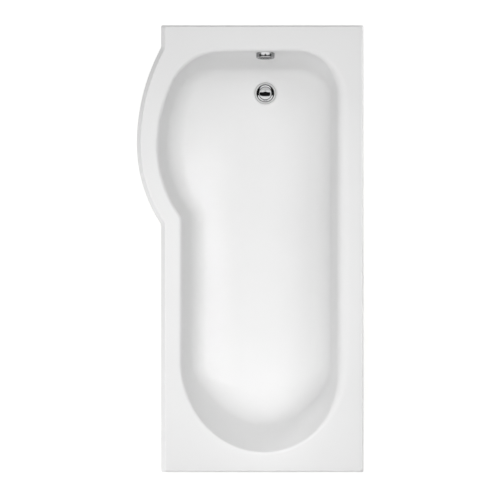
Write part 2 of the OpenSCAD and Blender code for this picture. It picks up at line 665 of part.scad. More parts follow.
// Wall brackets ---------------------------------------------------------------
bracket_step = wall_batten_x[1] + wall_bracket_sheet + 1;
lip_low = rim_height - lip_depth - 3;
wall_holes_z = lip_low - 20;
module wall_brackets() color([0.62, 0.64, 0.66]) for (y = wall_bracket_ys) difference() {
    translate([0, y + wall_bracket_width/2, 0]) rotate([90, 0, 0]) linear_extrude(wall_bracket_width)
        let (s = wall_bracket_sheet) polygon([[wall_batten_x[0], batten_z], [bracket_step, batten_z],
            [bracket_step, lip_low], [x_wall, lip_low], [x_wall, lip_low - wall_bracket_leg],
            [x_wall - s, lip_low - wall_bracket_leg], [x_wall - s, lip_low - s], [bracket_step - s, lip_low - s],
            [bracket_step - s, batten_z - s], [wall_batten_x[0], batten_z - s]]);
    for (k = [0, 1]) translate([x_wall - wall_bracket_sheet - 1, y, wall_holes_z - k*wall_hole_pitch])
        rotate([0, 90, 0]) cylinder(r = wall_hole_dia/2, h = wall_bracket_sheet + 2);
    translate([bracket_screw_x, y, batten_z - wall_bracket_sheet - 1])
        cylinder(r = screw_dia/2 + 0.3, h = wall_bracket_sheet + 2, $fn = 24);
}
module bracket_screws() color([0.75, 0.72, 0.60])
    for (y = wall_bracket_ys) translate([bracket_screw_x, y, batten_z - wall_bracket_sheet])
        wood_screw(bracket_bite - 0.5, wall_bracket_sheet);

// Waste -----------------------------------------------------------------------
module at_waste(z) translate([waste_x, waste_y, z]) children();
flange_r = flange_dia/2;
mouth_r = mouth_dia/2;
tube_in = mouth_r - 2.5;
tube_out = waste_hole/2 - 0.5;
flange_z = recess_z + seal_upper;
flange_top = flange_z + flange_thickness;
tube_end = flange_z - flange_tube;
hub_height = 6;
hub_r = 9;
shank_r = 5;

// Soft washer that lies on the flat of the recess, its side cut to the slope round it
seal_upper_r = recess_dia/2 - 2*recess_slope - 0.8;
seal_upper_spread = recess_slope*seal_upper/(0.3*recess_depth);

module waste_seal_upper() color([0.58, 0.58, 0.58]) at_waste(recess_z) rotate_extrude()
    polygon([[waste_hole/2 + 0.6, 0], [seal_upper_r, 0], [seal_upper_r + min(seal_upper_spread, recess_slope), seal_upper],
        [waste_hole/2 + 0.6, seal_upper]]);

// Half section of the flange: a rolled edge, then a dish that falls to the mouth
flange_crest = flange_r - 1.4;
flange_fall = min(flange_dish, flange_thickness - 0.5);
flange_lip = flange_thickness - flange_fall;
flange_face = concat(
    [for (i = [0:5]) let (a = i*16) [flange_crest + 1.4*cos(a), flange_thickness - 1.4 + 1.4*sin(a)]],
    [for (i = [0:6]) let (t = i/6) [mix(flange_crest - 0.3, mouth_r + 0.6, t),
        flange_thickness - 0.01 - flange_fall*(0.8*t + 0.2*t*t)]],
    [for (i = [1:5]) let (a = 102 + i*15) [mouth_r + 0.8 + 1.2*cos(a), flange_lip - 1.2 + 1.2*sin(a)]]);

module waste_flange() color([0.80, 0.82, 0.84]) at_waste(flange_z) {
    difference() {
        union() {
            rotate_extrude($fn = 96) polygon(concat(
                [[tube_in, -flange_tube], [tube_out, -flange_tube], [tube_out, 0], [flange_r - 0.4, 0], [flange_r, 0.3]],
                flange_face,
                [[tube_in, -2.5]]));
            for (a = [0, 60, 120]) translate([0, 0, -flange_tube + hub_height/2]) rotate([0, 0, a])
                cube([2*tube_in + 2, 3, hub_height - 1], center = true);
            translate([0, 0, -flange_tube]) cylinder(r = hub_r, h = hub_height);
        }
        translate([0, 0, -flange_tube - 1]) cylinder(r = shank_r + 0.05, h = hub_height + 2);
    }
}

body_top = recess_z - shell_thickness - seal_lower;
body_base = body_top - waste_body_height;
body_in = tube_out + 0.15;
body_wall = 3;
tail_r = tail_dia/2;
inlet_z = body_base + spigot_radius + 8;
inlet_reach = body_in + body_wall + 4;

module waste_seal_lower() color([0.12, 0.12, 0.13]) at_waste(body_top) rotate_extrude()
    polygon([[waste_hole/2 + 0.6, 0], [waste_hole/2 + 8, 0], [waste_hole/2 + 8, seal_lower],
        [waste_hole/2 + 0.6, seal_lower]]);

module waste_body() color([0.92, 0.92, 0.90]) difference() {
    union() {
        at_waste(0) rotate_extrude($fn = 96) polygon([[0, body_base - tail_length],
            [tail_r - 1, body_base - tail_length], [tail_r, body_base - tail_length + 1],
            [tail_r, body_base - 6], [tail_r + 2, body_base - 5], [tail_r + 2, body_base],
            [body_in + body_wall, body_base + 6], [body_in + body_wall, body_top - 8],
            [body_in + 9, body_top - 4], [body_in + 9, body_top], [0, body_top]]);
        at_waste(inlet_z) rotate([-90, 0, 0]) {
            cylinder(r = spigot_radius + 3.5, h = inlet_reach);
            cylinder(r = spigot_radius, h = inlet_reach + spigot_length);
        }
        for (a = [45:90:315]) at_waste(0) rotate([0, 0, a]) translate([body_in + 1, -1.25, body_base + 8])
            cube([body_wall + 3, 2.5, waste_body_height - 14]);
    }
    at_waste(0) rotate_extrude($fn = 96) polygon([[0, body_base - tail_length - 1],
        [tail_r - 3.4, body_base - tail_length - 1], [tail_r - 3.4, body_base - 2],
        [body_in, body_base + 5], [body_in, body_top + 1], [0, body_top + 1]]);
    at_waste(inlet_z) rotate([-90, 0, 0]) cylinder(r = spigot_radius - 2, h = inlet_reach + spigot_length + 1);
}

// Click cartridge screwed into the hub, with the spring chamber inside
hub_top = tube_end + hub_height;
chamber_r = 7.2;
chamber_floor = hub_top + 2;
collar_height = 3;
stem_r = stem_dia/2;
stem_clearance = 0.05;
cap_height = 3;
// Levels of the closed plug: it rises until its collar meets the top of the chamber
plug_under = flange_top + plug_gap;
chamber_top = plug_under - 10;
collar_top = chamber_top - 0.1 - plug_travel;
stem_end = chamber_floor + 0.5;
guide_r = 2.6;

module click_cartridge() color([0.80, 0.66, 0.36]) at_waste(0) rotate_extrude() polygon([
    [guide_r + 0.3, tube_end - 2], [shank_r - 0.8, tube_end - 2], [shank_r, tube_end - 1.2], [shank_r, hub_top],
    [chamber_r + 1.6, hub_top], [chamber_r + 1.6, chamber_top + cap_height - 0.8],
    [chamber_r + 0.8, chamber_top + cap_height], [stem_r + stem_clearance, chamber_top + cap_height],
    [stem_r + stem_clearance, chamber_top], [chamber_r, chamber_top], [chamber_r, chamber_floor],
    [guide_r + 0.3, chamber_floor]]);

plug_r = plug_dia/2;
dome_r = (plug_r*plug_r + plug_dome*plug_dome)/2/plug_dome;
dome_a = asin(plug_r/dome_r);
plug_edge = 1.8;
skirt_r = tube_in - 2;
skirt_height = 6;
seal_r = 1.3;
module plug() color([0.82, 0.84, 0.86]) at_waste(plug_under) rotate_extrude($fn = 96) polygon(concat(
    [[0, stem_end - plug_under], [guide_r, stem_end - plug_under],
     [guide_r, collar_top - collar_height - plug_under], [chamber_r - 0.4, collar_top - collar_height - plug_under],
     [chamber_r - 0.4, collar_top - plug_under], [stem_r, collar_top - plug_under], [stem_r, -skirt_height],
     [skirt_r, -skirt_height], [skirt_r, -2*seal_r - 1.6], [skirt_r - 1, -2*seal_r - 1.6],
     [skirt_r - 1, -1.4], [skirt_r, -1.4], [skirt_r, 0], [plug_r - 0.6, 0], [plug_r, 0.6], [plug_r, plug_edge]],
    [for (i = [1:12]) let (a = dome_a*(1 - i/12)) [dome_r*sin(a), plug_edge + dome_r*(cos(a) - cos(dome_a))]]));

module plug_seal() color([0.12, 0.12, 0.13]) at_waste(plug_under - seal_r - 1.5) rotate_extrude($fn = 96)
    translate([skirt_r - 1 + seal_r, 0]) circle(r = seal_r, $fn = 24);

// Spring: one unbroken tube, curl after curl between the chamber floor and the collar
spring_r = chamber_r - 0.5 - spring_wire;
spring_low = chamber_floor + spring_wire/2 + 0.1;
spring_high = collar_top - collar_height - spring_wire/2 - 0.1;
spring_steps = 8;
spring_sides = 6;
spring_n = spring_curls*spring_steps;
function coil_p(i) = let (a = 360*i/spring_steps)
    [spring_r*cos(a), spring_r*sin(a), mix(spring_low, spring_high, i/spring_n)];
spring_points = [for (i = [0:spring_n]) let (a = 360*i/spring_steps, c = coil_p(i))
    [for (k = [0:spring_sides - 1]) let (b = 360*k/spring_sides)
        c + spring_wire/2*[cos(a)*cos(b), sin(a)*cos(b), sin(b)]]];
module swept(rings) {
    m = len(rings);
    n = len(rings[0]);
    polyhedron([for (r = rings) each r], concat(
        [for (j = [0:m - 2]) for (i = [0:n - 1]) let (i2 = (i + 1)%n)
            each [[j*n + i, (j + 1)*n + i, (j + 1)*n + i2], [j*n + i, (j + 1)*n + i2, j*n + i2]]],
        [for (i = [1:n - 2]) [0, i, i + 1]],
        [for (i = [1:n - 2]) [(m - 1)*n, (m - 1)*n + i + 1, (m - 1)*n + i]]), convexity = 10);
}
module plug_spring() color([0.70, 0.72, 0.74]) at_waste(0) swept(spring_points);
spring_gap = min([for (i = [0:spring_n - spring_steps]) for (k = [-1:1])
    i + spring_steps + k > spring_n ? 1000 : norm(coil_p(i + spring_steps + k) - coil_p(i))]) - spring_wire;
echo(spring_gap = spring_gap);

// Overflow --------------------------------------------------------------------
cover_r = cover_dia/2;
cover_wall = 1.6;
cover_face = 2.4;
cover_edge = 2.5;
cover_crown = 0.8;
screw_r = 2.5;
tube_r = overflow_hole/2 - 0.4;
elbow_flange = overflow_hole/2 + 8;
seal_back = -skin_thickness - overflow_seal_thickness;
elbow_depth = hose_behind + spigot_radius + 4;
elbow_back = -skin_thickness - elbow_depth;
hose_axis_z = -skin_thickness - hose_behind;
hose_start = elbow_flange;
bridge_low = -skin_thickness - 2;

cover_front_r = cover_r - cover_barrel;
// Side of the cover, from the wall at t = 0 to the start of its front edge at t = 1
function cover_side(t) = [cover_r - cover_barrel*t*t, (cover_depth - cover_crown - cover_edge)*t];

module overflow_cover() color([0.82, 0.84, 0.86]) at_overflow() difference() {
    rotate_extrude($fn = 96) polygon(concat(
        [[0, cover_depth]],
        [for (i = [0:6]) [cover_front_r - cover_edge + cover_edge*sin(i*15),
            cover_depth - cover_crown - cover_edge + cover_edge*cos(i*15)]],
        [for (i = [7:-1:0]) cover_side(i/8)],
        [[cover_r - cover_wall, 0], [cover_r - cover_wall, 4],
         [cover_front_r - cover_wall - 1, cover_depth - cover_face - 2.4],
         [cover_front_r - cover_wall - 2.6, cover_depth - cover_face - 0.8],
         [7, cover_depth - cover_face - 0.2], [7, 0], [0, 0]]));
    translate([0, 0, -1]) cylinder(r = screw_r + 0.2, h = cover_depth + 2);
    translate([0, 0, cover_depth - 2.2]) cylinder(r = 5, h = 4);
    translate([-16, -cover_r - 1, -1]) cube([32, 8, 8]);
}

module overflow_screw() color([0.80, 0.82, 0.84]) at_overflow() difference() {
    union() {
        translate([0, 0, bridge_low - 4]) cylinder(r = screw_r, h = cover_depth - 2.2 - bridge_low + 4);
        translate([0, 0, cover_depth - 2.2]) rotate_extrude()
            polygon([[0, 0], [4.6, 0], [4.6, 0.8], [3.6, 1.9], [0, 2.1]]);
    }
    translate([-3, -0.5, cover_depth - 1.2]) cube([6, 1, 3]);
    translate([-0.5, -3, cover_depth - 1.2]) cube([1, 6, 3]);
}

module overflow_seal() color([0.12, 0.12, 0.13]) at_overflow() translate([0, 0, seal_back]) rotate_extrude()
    polygon([[overflow_hole/2 + 0.6, 0], [elbow_flange - 0.5, 0], [elbow_flange - 0.5, overflow_seal_thickness],
        [overflow_hole/2 + 0.6, overflow_seal_thickness]]);

module overflow_elbow() color([0.92, 0.92, 0.90]) at_overflow() difference() {
    union() {
        difference() {
            union() {
                rotate_extrude($fn = 96) polygon([[0, elbow_back], [24, elbow_back], [27, elbow_back + 3],
                    [27, seal_back - 4], [elbow_flange, seal_back - 3], [elbow_flange, seal_back],
                    [tube_r, seal_back], [tube_r, -1], [0, -1]]);
                translate([0, 0, hose_axis_z]) rotate([90, 0, 0]) {
                    cylinder(r = spigot_radius + 3.5, h = hose_start);
                    cylinder(r = spigot_radius, h = hose_start + spigot_length);
                }
            }
            translate([0, 0, elbow_back + 3]) cylinder(r = tube_r - 2, h = -elbow_back, $fn = 96);
            translate([0, 0, hose_axis_z]) rotate([90, 0, 0])
                cylinder(r = spigot_radius - 2, h = hose_start + spigot_length + 1);
        }
        translate([0, 0, bridge_low - 3]) cylinder(r = 7, h = 6);
        translate([-tube_r + 1, -3, bridge_low - 3]) cube([2*tube_r - 2, 6, 4]);
    }
    translate([0, 0, bridge_low - 6]) cylinder(r = screw_r + 0.05, h = 14);
}

// Hose: straight down behind the wall, one bend, straight into the waste body
hose_in = (spigot_radius + 0.06)/cos(22.5);
hose_root = hose_in + hose_wall;
hose_cuff = 16;
down = [-cos(head_steep), -sin(head_steep)];
start_yz = [seat_p.y - hose_axis_z*sin(head_steep), seat_p.z + hose_axis_z*cos(head_steep)] + hose_start*down;
end_yz = [waste_y + inlet_reach, inlet_z];
// Corner where the two straights would meet, and the tangent length of the bend
corner_t = (end_yz.y - start_yz.y)/down.y;
corner_yz = start_yz + corner_t*down;
hose_turn = head_steep;
tangent = hose_bend*tan(hose_turn/2);
leg_1 = corner_t - tangent;
leg_2 = corner_yz.x - end_yz.x - tangent;
arc_length = hose_bend*hose_turn*PI/180;
hose_length = leg_1 + arc_length + leg_2;
// Place and heading at distance u along the hose
bend_c = start_yz + leg_1*down + hose_bend*[down.y, -down.x];
function hose_at(u) = u <= leg_1 ? [start_yz + u*down, 0]
    : u >= leg_1 + arc_length ? [end_yz + [hose_length - u, 0], hose_turn]
    : let (a = (u - leg_1)/hose_bend*180/PI) [bend_c + hose_bend*[sin(head_steep - a), -cos(head_steep - a)], a];
function hose_ring(u, r) = let (h = hose_at(u), a = head_steep - h[1], m = [sin(a), -cos(a)])
    [for (k = [0:7]) let (b = 22.5 + 45*k) [waste_x + r*cos(b), h[0].x + r*sin(b)*m.x, h[0].y + r*sin(b)*m.y]];
ribs = floor((hose_length - 2*hose_cuff)/rib_pitch);
rib_step = (hose_length - 2*hose_cuff)/ribs;
hose_outer = concat([hose_ring(0, hose_root), hose_ring(hose_cuff, hose_root)],
    [for (i = [0:ribs - 1]) for (k = [0, 1]) hose_ring(hose_cuff + rib_step*(i + 0.35 + 0.4*k),
        k == 0 ? hose_root + rib_height : hose_root + 0.1)],
    [hose_ring(hose_length - hose_cuff, hose_root), hose_ring(hose_length, hose_root)]);
hose_bore = [for (i = [24:-1:0]) hose_ring(hose_length*i/24, hose_in)];
module overflow_hose() color([0.88, 0.88, 0.86]) loop_skin(reverse(concat(hose_outer, hose_bore)));
echo(hose_length = hose_length, ribs = ribs);

clip_width = 9;
module clip() {
    difference() {
        cylinder(r = hose_root + 1, h = clip_width);
        translate([0, 0, -1]) cylinder(r = hose_root + 0.05, h = clip_width + 2);
    }
    translate([-5, hose_root + 0.5, 0.5]) cube([10, 5, clip_width - 1]);
}
module hose_clips() color([0.70, 0.72, 0.74]) {
    at_overflow() translate([0, 0, hose_axis_z]) rotate([90, 0, 0])
        translate([0, 0, hose_start + 4]) rotate([0, 0, 180]) clip();
    at_waste(inlet_z) rotate([-90, 0, 0]) translate([0, 0, inlet_reach + 4]) clip();
}

bath_shell();
fibreglass_backing();
base_board();
front_batten();
wall_batten();
head_batten();
foot_batten();
head_cradle();
foot_cradle();
centre_bracket();
leg_nuts();
leg_screws();
rod_head_front();
pad_head_front();
rod_head_wall();
pad_head_wall();
rod_foot_front();
pad_foot_front();
rod_foot_wall();
pad_foot_wall();
rod_centre();
pad_centre();
wall_brackets();
bracket_screws();
waste_flange();
waste_seal_upper();
waste_seal_lower();
waste_body();
click_cartridge();
plug();
plug_seal();
plug_spring();
overflow_cover();
overflow_seal();
overflow_elbow();
overflow_screw();
overflow_hose();
hose_clips();
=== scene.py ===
import json
import math
import bpy
import bmesh
import numpy as np
from mathutils import Matrix, Vector


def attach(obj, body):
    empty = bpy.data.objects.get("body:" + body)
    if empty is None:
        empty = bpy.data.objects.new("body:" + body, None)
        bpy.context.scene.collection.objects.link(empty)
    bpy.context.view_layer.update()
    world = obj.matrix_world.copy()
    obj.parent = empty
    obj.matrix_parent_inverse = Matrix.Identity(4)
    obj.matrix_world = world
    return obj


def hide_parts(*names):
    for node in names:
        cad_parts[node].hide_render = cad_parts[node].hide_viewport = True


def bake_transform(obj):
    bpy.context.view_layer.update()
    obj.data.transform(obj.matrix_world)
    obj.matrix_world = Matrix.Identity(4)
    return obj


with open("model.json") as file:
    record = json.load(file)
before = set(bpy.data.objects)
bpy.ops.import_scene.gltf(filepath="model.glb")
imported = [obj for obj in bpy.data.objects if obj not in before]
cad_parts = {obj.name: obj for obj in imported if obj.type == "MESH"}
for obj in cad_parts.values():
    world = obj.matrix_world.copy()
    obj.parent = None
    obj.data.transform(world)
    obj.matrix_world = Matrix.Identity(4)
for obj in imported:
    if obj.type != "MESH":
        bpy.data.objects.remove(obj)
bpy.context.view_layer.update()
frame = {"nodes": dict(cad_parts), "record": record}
scene = bpy.context.scene
MM = 0.001
rad = math.radians

# Sizes of the part's source, in millimetres ------------------------------------------
# Rim: outline, turned down lip and width on each side
LENGTH, WIDTH, NARROW, RIM = 1675.0, 850.0, 759.0, 545.0
X_WALL, Y_HEAD = WIDTH / 2, LENGTH / 2
X_BOW, Y_FOOT, X_FRONT = -X_WALL, -Y_HEAD, X_WALL - NARROW
BOW_HEAD_R, BOW_FOOT_R, NECK_R = 768.0, 541.0, 32.0
Y_APEX = Y_HEAD - 446
SKIN, BACK, BED = 5.0, 3.0, 2.0
LIP_CORNER, LIP_DEPTH, LIP_ROUND, LIP_BEVEL = 7.0, 40.0, 3.0, 0.8
FRONT_FLARE, SIDE_FLARE = 15.0, 5.5
FLARE = np.array([FRONT_FLARE, SIDE_FLARE, SIDE_FLARE, SIDE_FLARE])
RIM_WALL, RIM_HEAD, RIM_FRONT, RIM_BOW, RIM_FOOT = 53.0, 81.5, 66.0, 68.0, 65.5

# Basin: its edge in plan
IN_WALL, IN_FRONT, IN_BOW = X_WALL - RIM_WALL, X_FRONT + RIM_FRONT, X_BOW + RIM_BOW
IN_HEAD, IN_FOOT = Y_HEAD - RIM_HEAD, Y_FOOT + RIM_FOOT
BOWL_HEAD_R, BOWL_FOOT_R, BOWL_NECK = 550.0, 462.0, 30.0
Y_BOWL = Y_HEAD - 453
CORNER_WALL, CORNER_FRONT, FOOT_ROUND = 192.0, 225.0, 349.0

# Sections of its wall: width in plan, edge radius, cove radius, height over width of both rounds
STRETCH = 1.6
S_WALL = np.array([135.0, 48, 70, 1])
S_HEAD = np.array([120.0, 18, 45, 1])
S_FOOT = np.array([248.0, 13, 150, 1])
S_BOW = np.array([113.0, 15, 72, STRETCH])
S_FRONT = np.array([105.0, 15, 60, STRETCH])

# Floor, which falls to a recess round the waste
WASTE = np.array([57.0, Y_HEAD - 252.5])
WX, WY = WASTE
DEPTH, FALL, DISH, DISH_HALF, LEVEL_R = 390.0, 0.012, 3.0, 200.0, 165.0
RECESS_R, RECESS_D, RECESS_SLOPE, WASTE_HOLE = 44.5, 4.0, 3.0, 26.0
FLOOR = RIM - DEPTH
RECESS_Z = FLOOR - RECESS_D
BED_Z = FLOOR - SKIN - BACK - BED
BED_MARGIN = 16.0

# Waste: the flange is measured from its underside, the plug from the underside of its head
SEAL_UPPER, FLANGE_R, FLANGE_T, FLANGE_ROUND = 1.2, 34.0, 2.6, 1.1
TUBE, TUBE_IN, TUBE_OUT = 42.0, 21.5, 25.5
HUB, HUB_IN, HUB_OUT = 6.0, 5.05, 9.0
BARS, BAR_IN, BAR_OUT, BAR_WIDE, BAR_HIGH = 6, 8.72, 21.8, 3.0, 5.0
PLUG_GAP, PLUG_R, PLUG_DOME, PLUG_SIDE, STEM_R = 0.4, 23.0, 4.5, 1.8, 4.3
COLLAR_DROP, COLLAR_T, COLLAR_R, CHAMBER_UP = 19.1, 3.0, 6.8, 8.0
SPRING_R, WIRE_R, CURLS = 5.6, 0.55, 7
FLANGE_Z = RECESS_Z + SEAL_UPPER
FLANGE_TOP = FLANGE_Z + FLANGE_T
PLUG_Z = FLANGE_TOP + PLUG_GAP
CHAMBER = FLANGE_Z - TUBE + CHAMBER_UP
COLLAR = PLUG_Z - COLLAR_DROP

# Overflow and its hose
OVERFLOW_DROP, OVERFLOW_HOLE = 52.0, 26.0
COVER_R, COVER_DEPTH, COVER_ROUND, COVER_BARREL, COVER_RISE = 35.0, 19.0, 2.5, 1.0, 0.8
HOSE_BEHIND, HOSE_BEND, HOSE_CUFF, RIB_PITCH = 23.0, 47.0, 16.0, 5.0
HOSE_BORE, HOSE_ROOT, CUFF_R, RIB_HIGH, ELBOW_EDGE = 13.1, 14.9, 15.3, 1.9, 8.0
INLET_DROP, INLET_OUT = 56.8, 32.65

# Threads: outer radius, root radius and pitch. A FLANK above 1 flattens the crest, ROOT_FLAT the root
ROD_THREAD, TAIL_THREAD = (5.0, 4.25, 1.5), (24.35, 23.85, 2.3)
FLANK, ROOT_FLAT = 1.35, 0.12
TAIL_LOW, TAIL_TOP, ROD_LOW, ROD_TOP = 45.5, 71.0, 5.0, 155.0

# Feet: how far in from the basin's edge, and where along the bath
FOOT_IN, FEET_HEAD, FEET_FOOT, CENTRE_FOOT = 32.0, 330.0, -400.0, (52, -40, 124)


# Node trees --------------------------------------------------------------------------
class Tree:
    """A short way to write nodes and the links between them."""

    def __init__(self, tree):
        self.tree = tree

    def new(self, kind, **attrs):
        n = self.tree.nodes.new(kind)
        for k, v in attrs.items():
            setattr(n, k, v)
        return n

    def link(self, a, b):
        self.tree.links.new(a, b)

    def give(self, socket, value):
        """Links another node's output, or sets a plain value."""
        if hasattr(value, "is_output"):
            self.link(value, socket)
        else:
            socket.default_value = value

    def math(self, op, *args, clamp=False):
        n = self.new("ShaderNodeMath", operation=op, use_clamp=clamp)
        for socket, value in zip(n.inputs, args):
            self.give(socket, value)
        return n.outputs[0]

    def split(self, vector):
        n = self.new("ShaderNodeSeparateXYZ")
        self.link(vector, n.inputs[0])
        return n.outputs


class Surface(Tree):
    """A material's nodes round one Principled shader, placed by the object's own coordinates."""

    def __init__(self, name, **settings):
        self.mat = bpy.data.materials.new(name)
        self.mat.use_nodes = True
        super().__init__(self.mat.node_tree)
        self.bsdf = self.tree.nodes["Principled BSDF"]
        for k, v in settings.items():
            self.bsdf.inputs[k.replace("_", " ")].default_value = v
        self.co = self.new("ShaderNodeTexCoord").outputs["Object"]

    def set(self, socket, out):
        self.link(out, self.bsdf.inputs[socket])

    def stretch(self, scale, turn=(0, 0, 0)):
        m = self.new("ShaderNodeMapping")
        m.inputs["Scale"].default_value = scale
        m.inputs["Rotation"].default_value = turn
        self.link(self.co, m.inputs["Vector"])
        return m.outputs["Vector"]

    def noise(self, scale, detail, rough=0.5, vector=None, distortion=0.0):
        n = self.new("ShaderNodeTexNoise")
        n.inputs["Scale"].default_value = scale
        n.inputs["Detail"].default_value = detail
        n.inputs["Roughness"].default_value = rough
        n.inputs["Distortion"].default_value = distortion
        self.link(vector or self.co, n.inputs["Vector"])
        return n.outputs["Fac"]

    def cells(self, scale, vector, out="Color"):
        n = self.new("ShaderNodeTexVoronoi")
        n.inputs["Scale"].default_value = scale
        self.link(vector, n.inputs["Vector"])
        return n.outputs[out]

    def bands(self, distortion, detail, vector):
        n = self.new("ShaderNodeTexWave", bands_direction="Z")
        n.inputs["Scale"].default_value = 1.0
        n.inputs["Distortion"].default_value = distortion
        n.inputs["Detail"].default_value = detail
        self.link(vector, n.inputs["Vector"])
        return n.outputs["Fac"]

    def ramp(self, fac, stops):
        n = self.new("ShaderNodeValToRGB")
        e = n.color_ramp.elements
        while len(e) < len(stops):
            e.new(0.5)
        for el, (p, c) in zip(e, stops):
            el.position = p
            el.color = (*c, 1)
        self.link(fac, n.inputs["Fac"])
        return n.outputs["Color"]

    def span(self, fac, a, b, lo=0.0, hi=1.0):
        """From a to b while fac goes from lo to hi."""
        n = self.new("ShaderNodeMapRange")
        for k, v in zip(("From Min", "From Max", "To Min", "To Max"), (lo, hi, a, b)):
            n.inputs[k].default_value = v
        self.link(fac, n.inputs["Value"])
        return n.outputs["Result"]

    def mix(self, fac, a, b, blend="MIX"):
        n = self.new("ShaderNodeMix", data_type="RGBA", blend_type=blend)
        n.inputs[0].default_value = fac
        self.link(a, n.inputs[6])
        self.link(b, n.inputs[7])
        return n.outputs[2]

    def times(self, a, b):
        return self.mix(1.0, a, b, "MULTIPLY")

    def bump(self, height, strength, distance):
        """Adds to the bumps that are there already."""
        n = self.new("ShaderNodeBump")
        n.inputs["Strength"].default_value = strength
        n.inputs["Distance"].default_value = distance
        self.link(height, n.inputs["Height"])
        normal = self.bsdf.inputs["Normal"]
        if normal.is_linked:
            self.link(normal.links[0].from_socket, n.inputs["Normal"])
        self.link(n.outputs["Normal"], normal)


# Materials ---------------------------------------------------------------------------
def acrylic():
    """White sheet, with the faint waves and grain of a moulded shell."""
    m = Surface("acrylic_white", IOR=1.49, Specular_IOR_Level=0.25)
    m.set("Base Color", m.ramp(m.noise(3.0, 2), [(0.3, (0.79, 0.79, 0.79)), (0.7, (0.81, 0.81, 0.81))]))
    m.set("Roughness", m.span(m.noise(40, 4), 0.30, 0.38))
    m.bump(m.noise(22, 1), 0.05, 0.002)
    m.bump(m.noise(420, 2), 0.02, 0.0004)
    return m.mat


def glass_fibre():
    """Chopped strands, each turn a layer of its own, in resin that pools here and there."""
    m = Surface("glass_fibre_laminate", IOR=1.5)
    layers = [m.noise(1.0, 1.0, 0.4, m.stretch((420, 26, 60), (0.5 * k, 0.3 * k, turn)))
              for k, turn in enumerate((0.0, 0.62, 1.25, 1.9, 2.55))]
    strands = layers[0]
    for layer in layers[1:]:
        strands = m.math("MAXIMUM", strands, layer)
    tint = m.ramp(strands, [(0.52, (0.58, 0.60, 0.50)), (0.66, (0.76, 0.78, 0.68)),
                            (0.78, (0.88, 0.89, 0.82))])
    pools = m.ramp(m.noise(9, 4), [(0.35, (0.86, 0.88, 0.76)), (0.65, (1.0, 1.0, 1.0))])
    m.set("Base Color", m.times(tint, pools))
    m.set("Roughness", m.span(strands, 0.28, 0.62, 0.45, 0.8))
    m.bump(strands, 0.55, 0.0016)
    m.bump(m.noise(14, 4), 0.35, 0.004)
    return m.mat


def chipboard():
    """Pressed chips of several browns under a sealer."""
    m = Surface("chipboard_sealed", IOR=1.45)
    lay = m.stretch((1, 0.55, 1.8), (0, 0, 0.4))
    tint = m.ramp(m.split(m.cells(170, lay))[0],
                  [(0.0, (0.36, 0.24, 0.12)), (0.35, (0.60, 0.44, 0.25)),
                   (0.7, (0.74, 0.58, 0.36)), (1.0, (0.84, 0.71, 0.49))])
    dust = m.ramp(m.noise(60, 5), [(0.3, (0.42, 0.30, 0.16)), (0.7, (0.80, 0.66, 0.44))])
    m.set("Base Color", m.mix(0.35, tint, dust))
    m.set("Roughness", m.span(m.noise(90, 3), 0.45, 0.7))
    m.bump(m.cells(170, lay, "Distance"), 0.3, 0.0008)
    return m.mat


def plywood():
    """Light and dark plies, one above the other, with a fine grain."""
    m = Surface("plywood_edge", IOR=1.45)
    ply_t = 0.0018
    ply = m.math("PINGPONG", m.split(m.co)[2], ply_t)
    layers = m.ramp(m.span(ply, 0, 1, 0, ply_t), [(0.42, (0.50, 0.34, 0.18)), (0.58, (0.78, 0.62, 0.40))])
    grain = m.ramp(m.noise(1.0, 5, 0.6, m.stretch((60, 9, 260)), 0.6),
                   [(0.35, (0.78, 0.70, 0.58)), (0.65, (1.0, 0.97, 0.90))])
    m.set("Base Color", m.times(layers, grain))
    m.set("Roughness", m.span(m.noise(70, 3), 0.55, 0.75))
    m.bump(grain, 0.3, 0.0005)
    return m.mat


def softwood(name, stretch):
    """Year rings and a fine grain, long in the direction that stretch is small in."""
    m = Surface(name, IOR=1.45)
    rings = m.bands(7.0, 3, m.stretch(stretch))
    tint = m.ramp(rings, [(0.0, (0.84, 0.67, 0.42)), (0.55, (0.78, 0.58, 0.34)), (0.9, (0.58, 0.37, 0.18))])
    fine = m.ramp(m.noise(6.0, 5, 0.6, m.stretch(stretch)), [(0.3, (0.82, 0.76, 0.66)), (0.7, (1, 1, 1))])
    m.set("Base Color", m.times(tint, fine))
    m.set("Roughness", m.span(m.noise(60, 3), 0.5, 0.7))
    m.bump(rings, 0.25, 0.0004)
    return m.mat


def galvanised():
    """Zinc spangle on steel sheet."""
    m = Surface("galvanised_sheet", Metallic=1.0)
    spangle = m.split(m.cells(85, m.stretch((1, 1.25, 1))))[0]
    m.set("Base Color", m.ramp(spangle, [(0, (0.50, 0.52, 0.54)), (0.5, (0.60, 0.62, 0.64)),
                                         (1, (0.72, 0.73, 0.75))]))
    m.set("Roughness", m.span(spangle, 0.28, 0.46))
    m.bump(m.noise(240, 4), 0.12, 0.0004)
    return m.mat


def zinc():
    """Plated steel of rods, nuts and screws."""
    m = Surface("zinc_plate", Metallic=1.0)
    m.set("Base Color", m.ramp(m.noise(55, 4), [(0.3, (0.60, 0.61, 0.60)), (0.7, (0.74, 0.74, 0.70))]))
    m.set("Roughness", m.span(m.noise(160, 4), 0.22, 0.40))
    m.bump(m.noise(500, 2), 0.1, 0.0002)
    return m.mat


def chrome():
    """Polished plate, with painted shade where the surface turns away from the eye."""
    m = Surface("chrome_polished", Metallic=1.0)
    plate = m.ramp(m.noise(30, 2), [(0.3, (0.87, 0.875, 0.88)), (0.7, (0.90, 0.905, 0.91))])
    # Painted shade: the colour falls to 0.42 of itself where the surface turns away from the eye
    facing = m.new("ShaderNodeLayerWeight")
    facing.inputs["Blend"].default_value = 0.5
    edge = m.ramp(facing.outputs["Facing"], [(0.14, (1, 1, 1)), (0.27, (0.42, 0.42, 0.42))])
    m.set("Base Color", m.times(plate, edge))
    m.set("Roughness", m.span(m.noise(120, 3), 0.03, 0.07))
    m.bump(m.noise(900, 2), 0.01, 0.0001)
    return m.mat


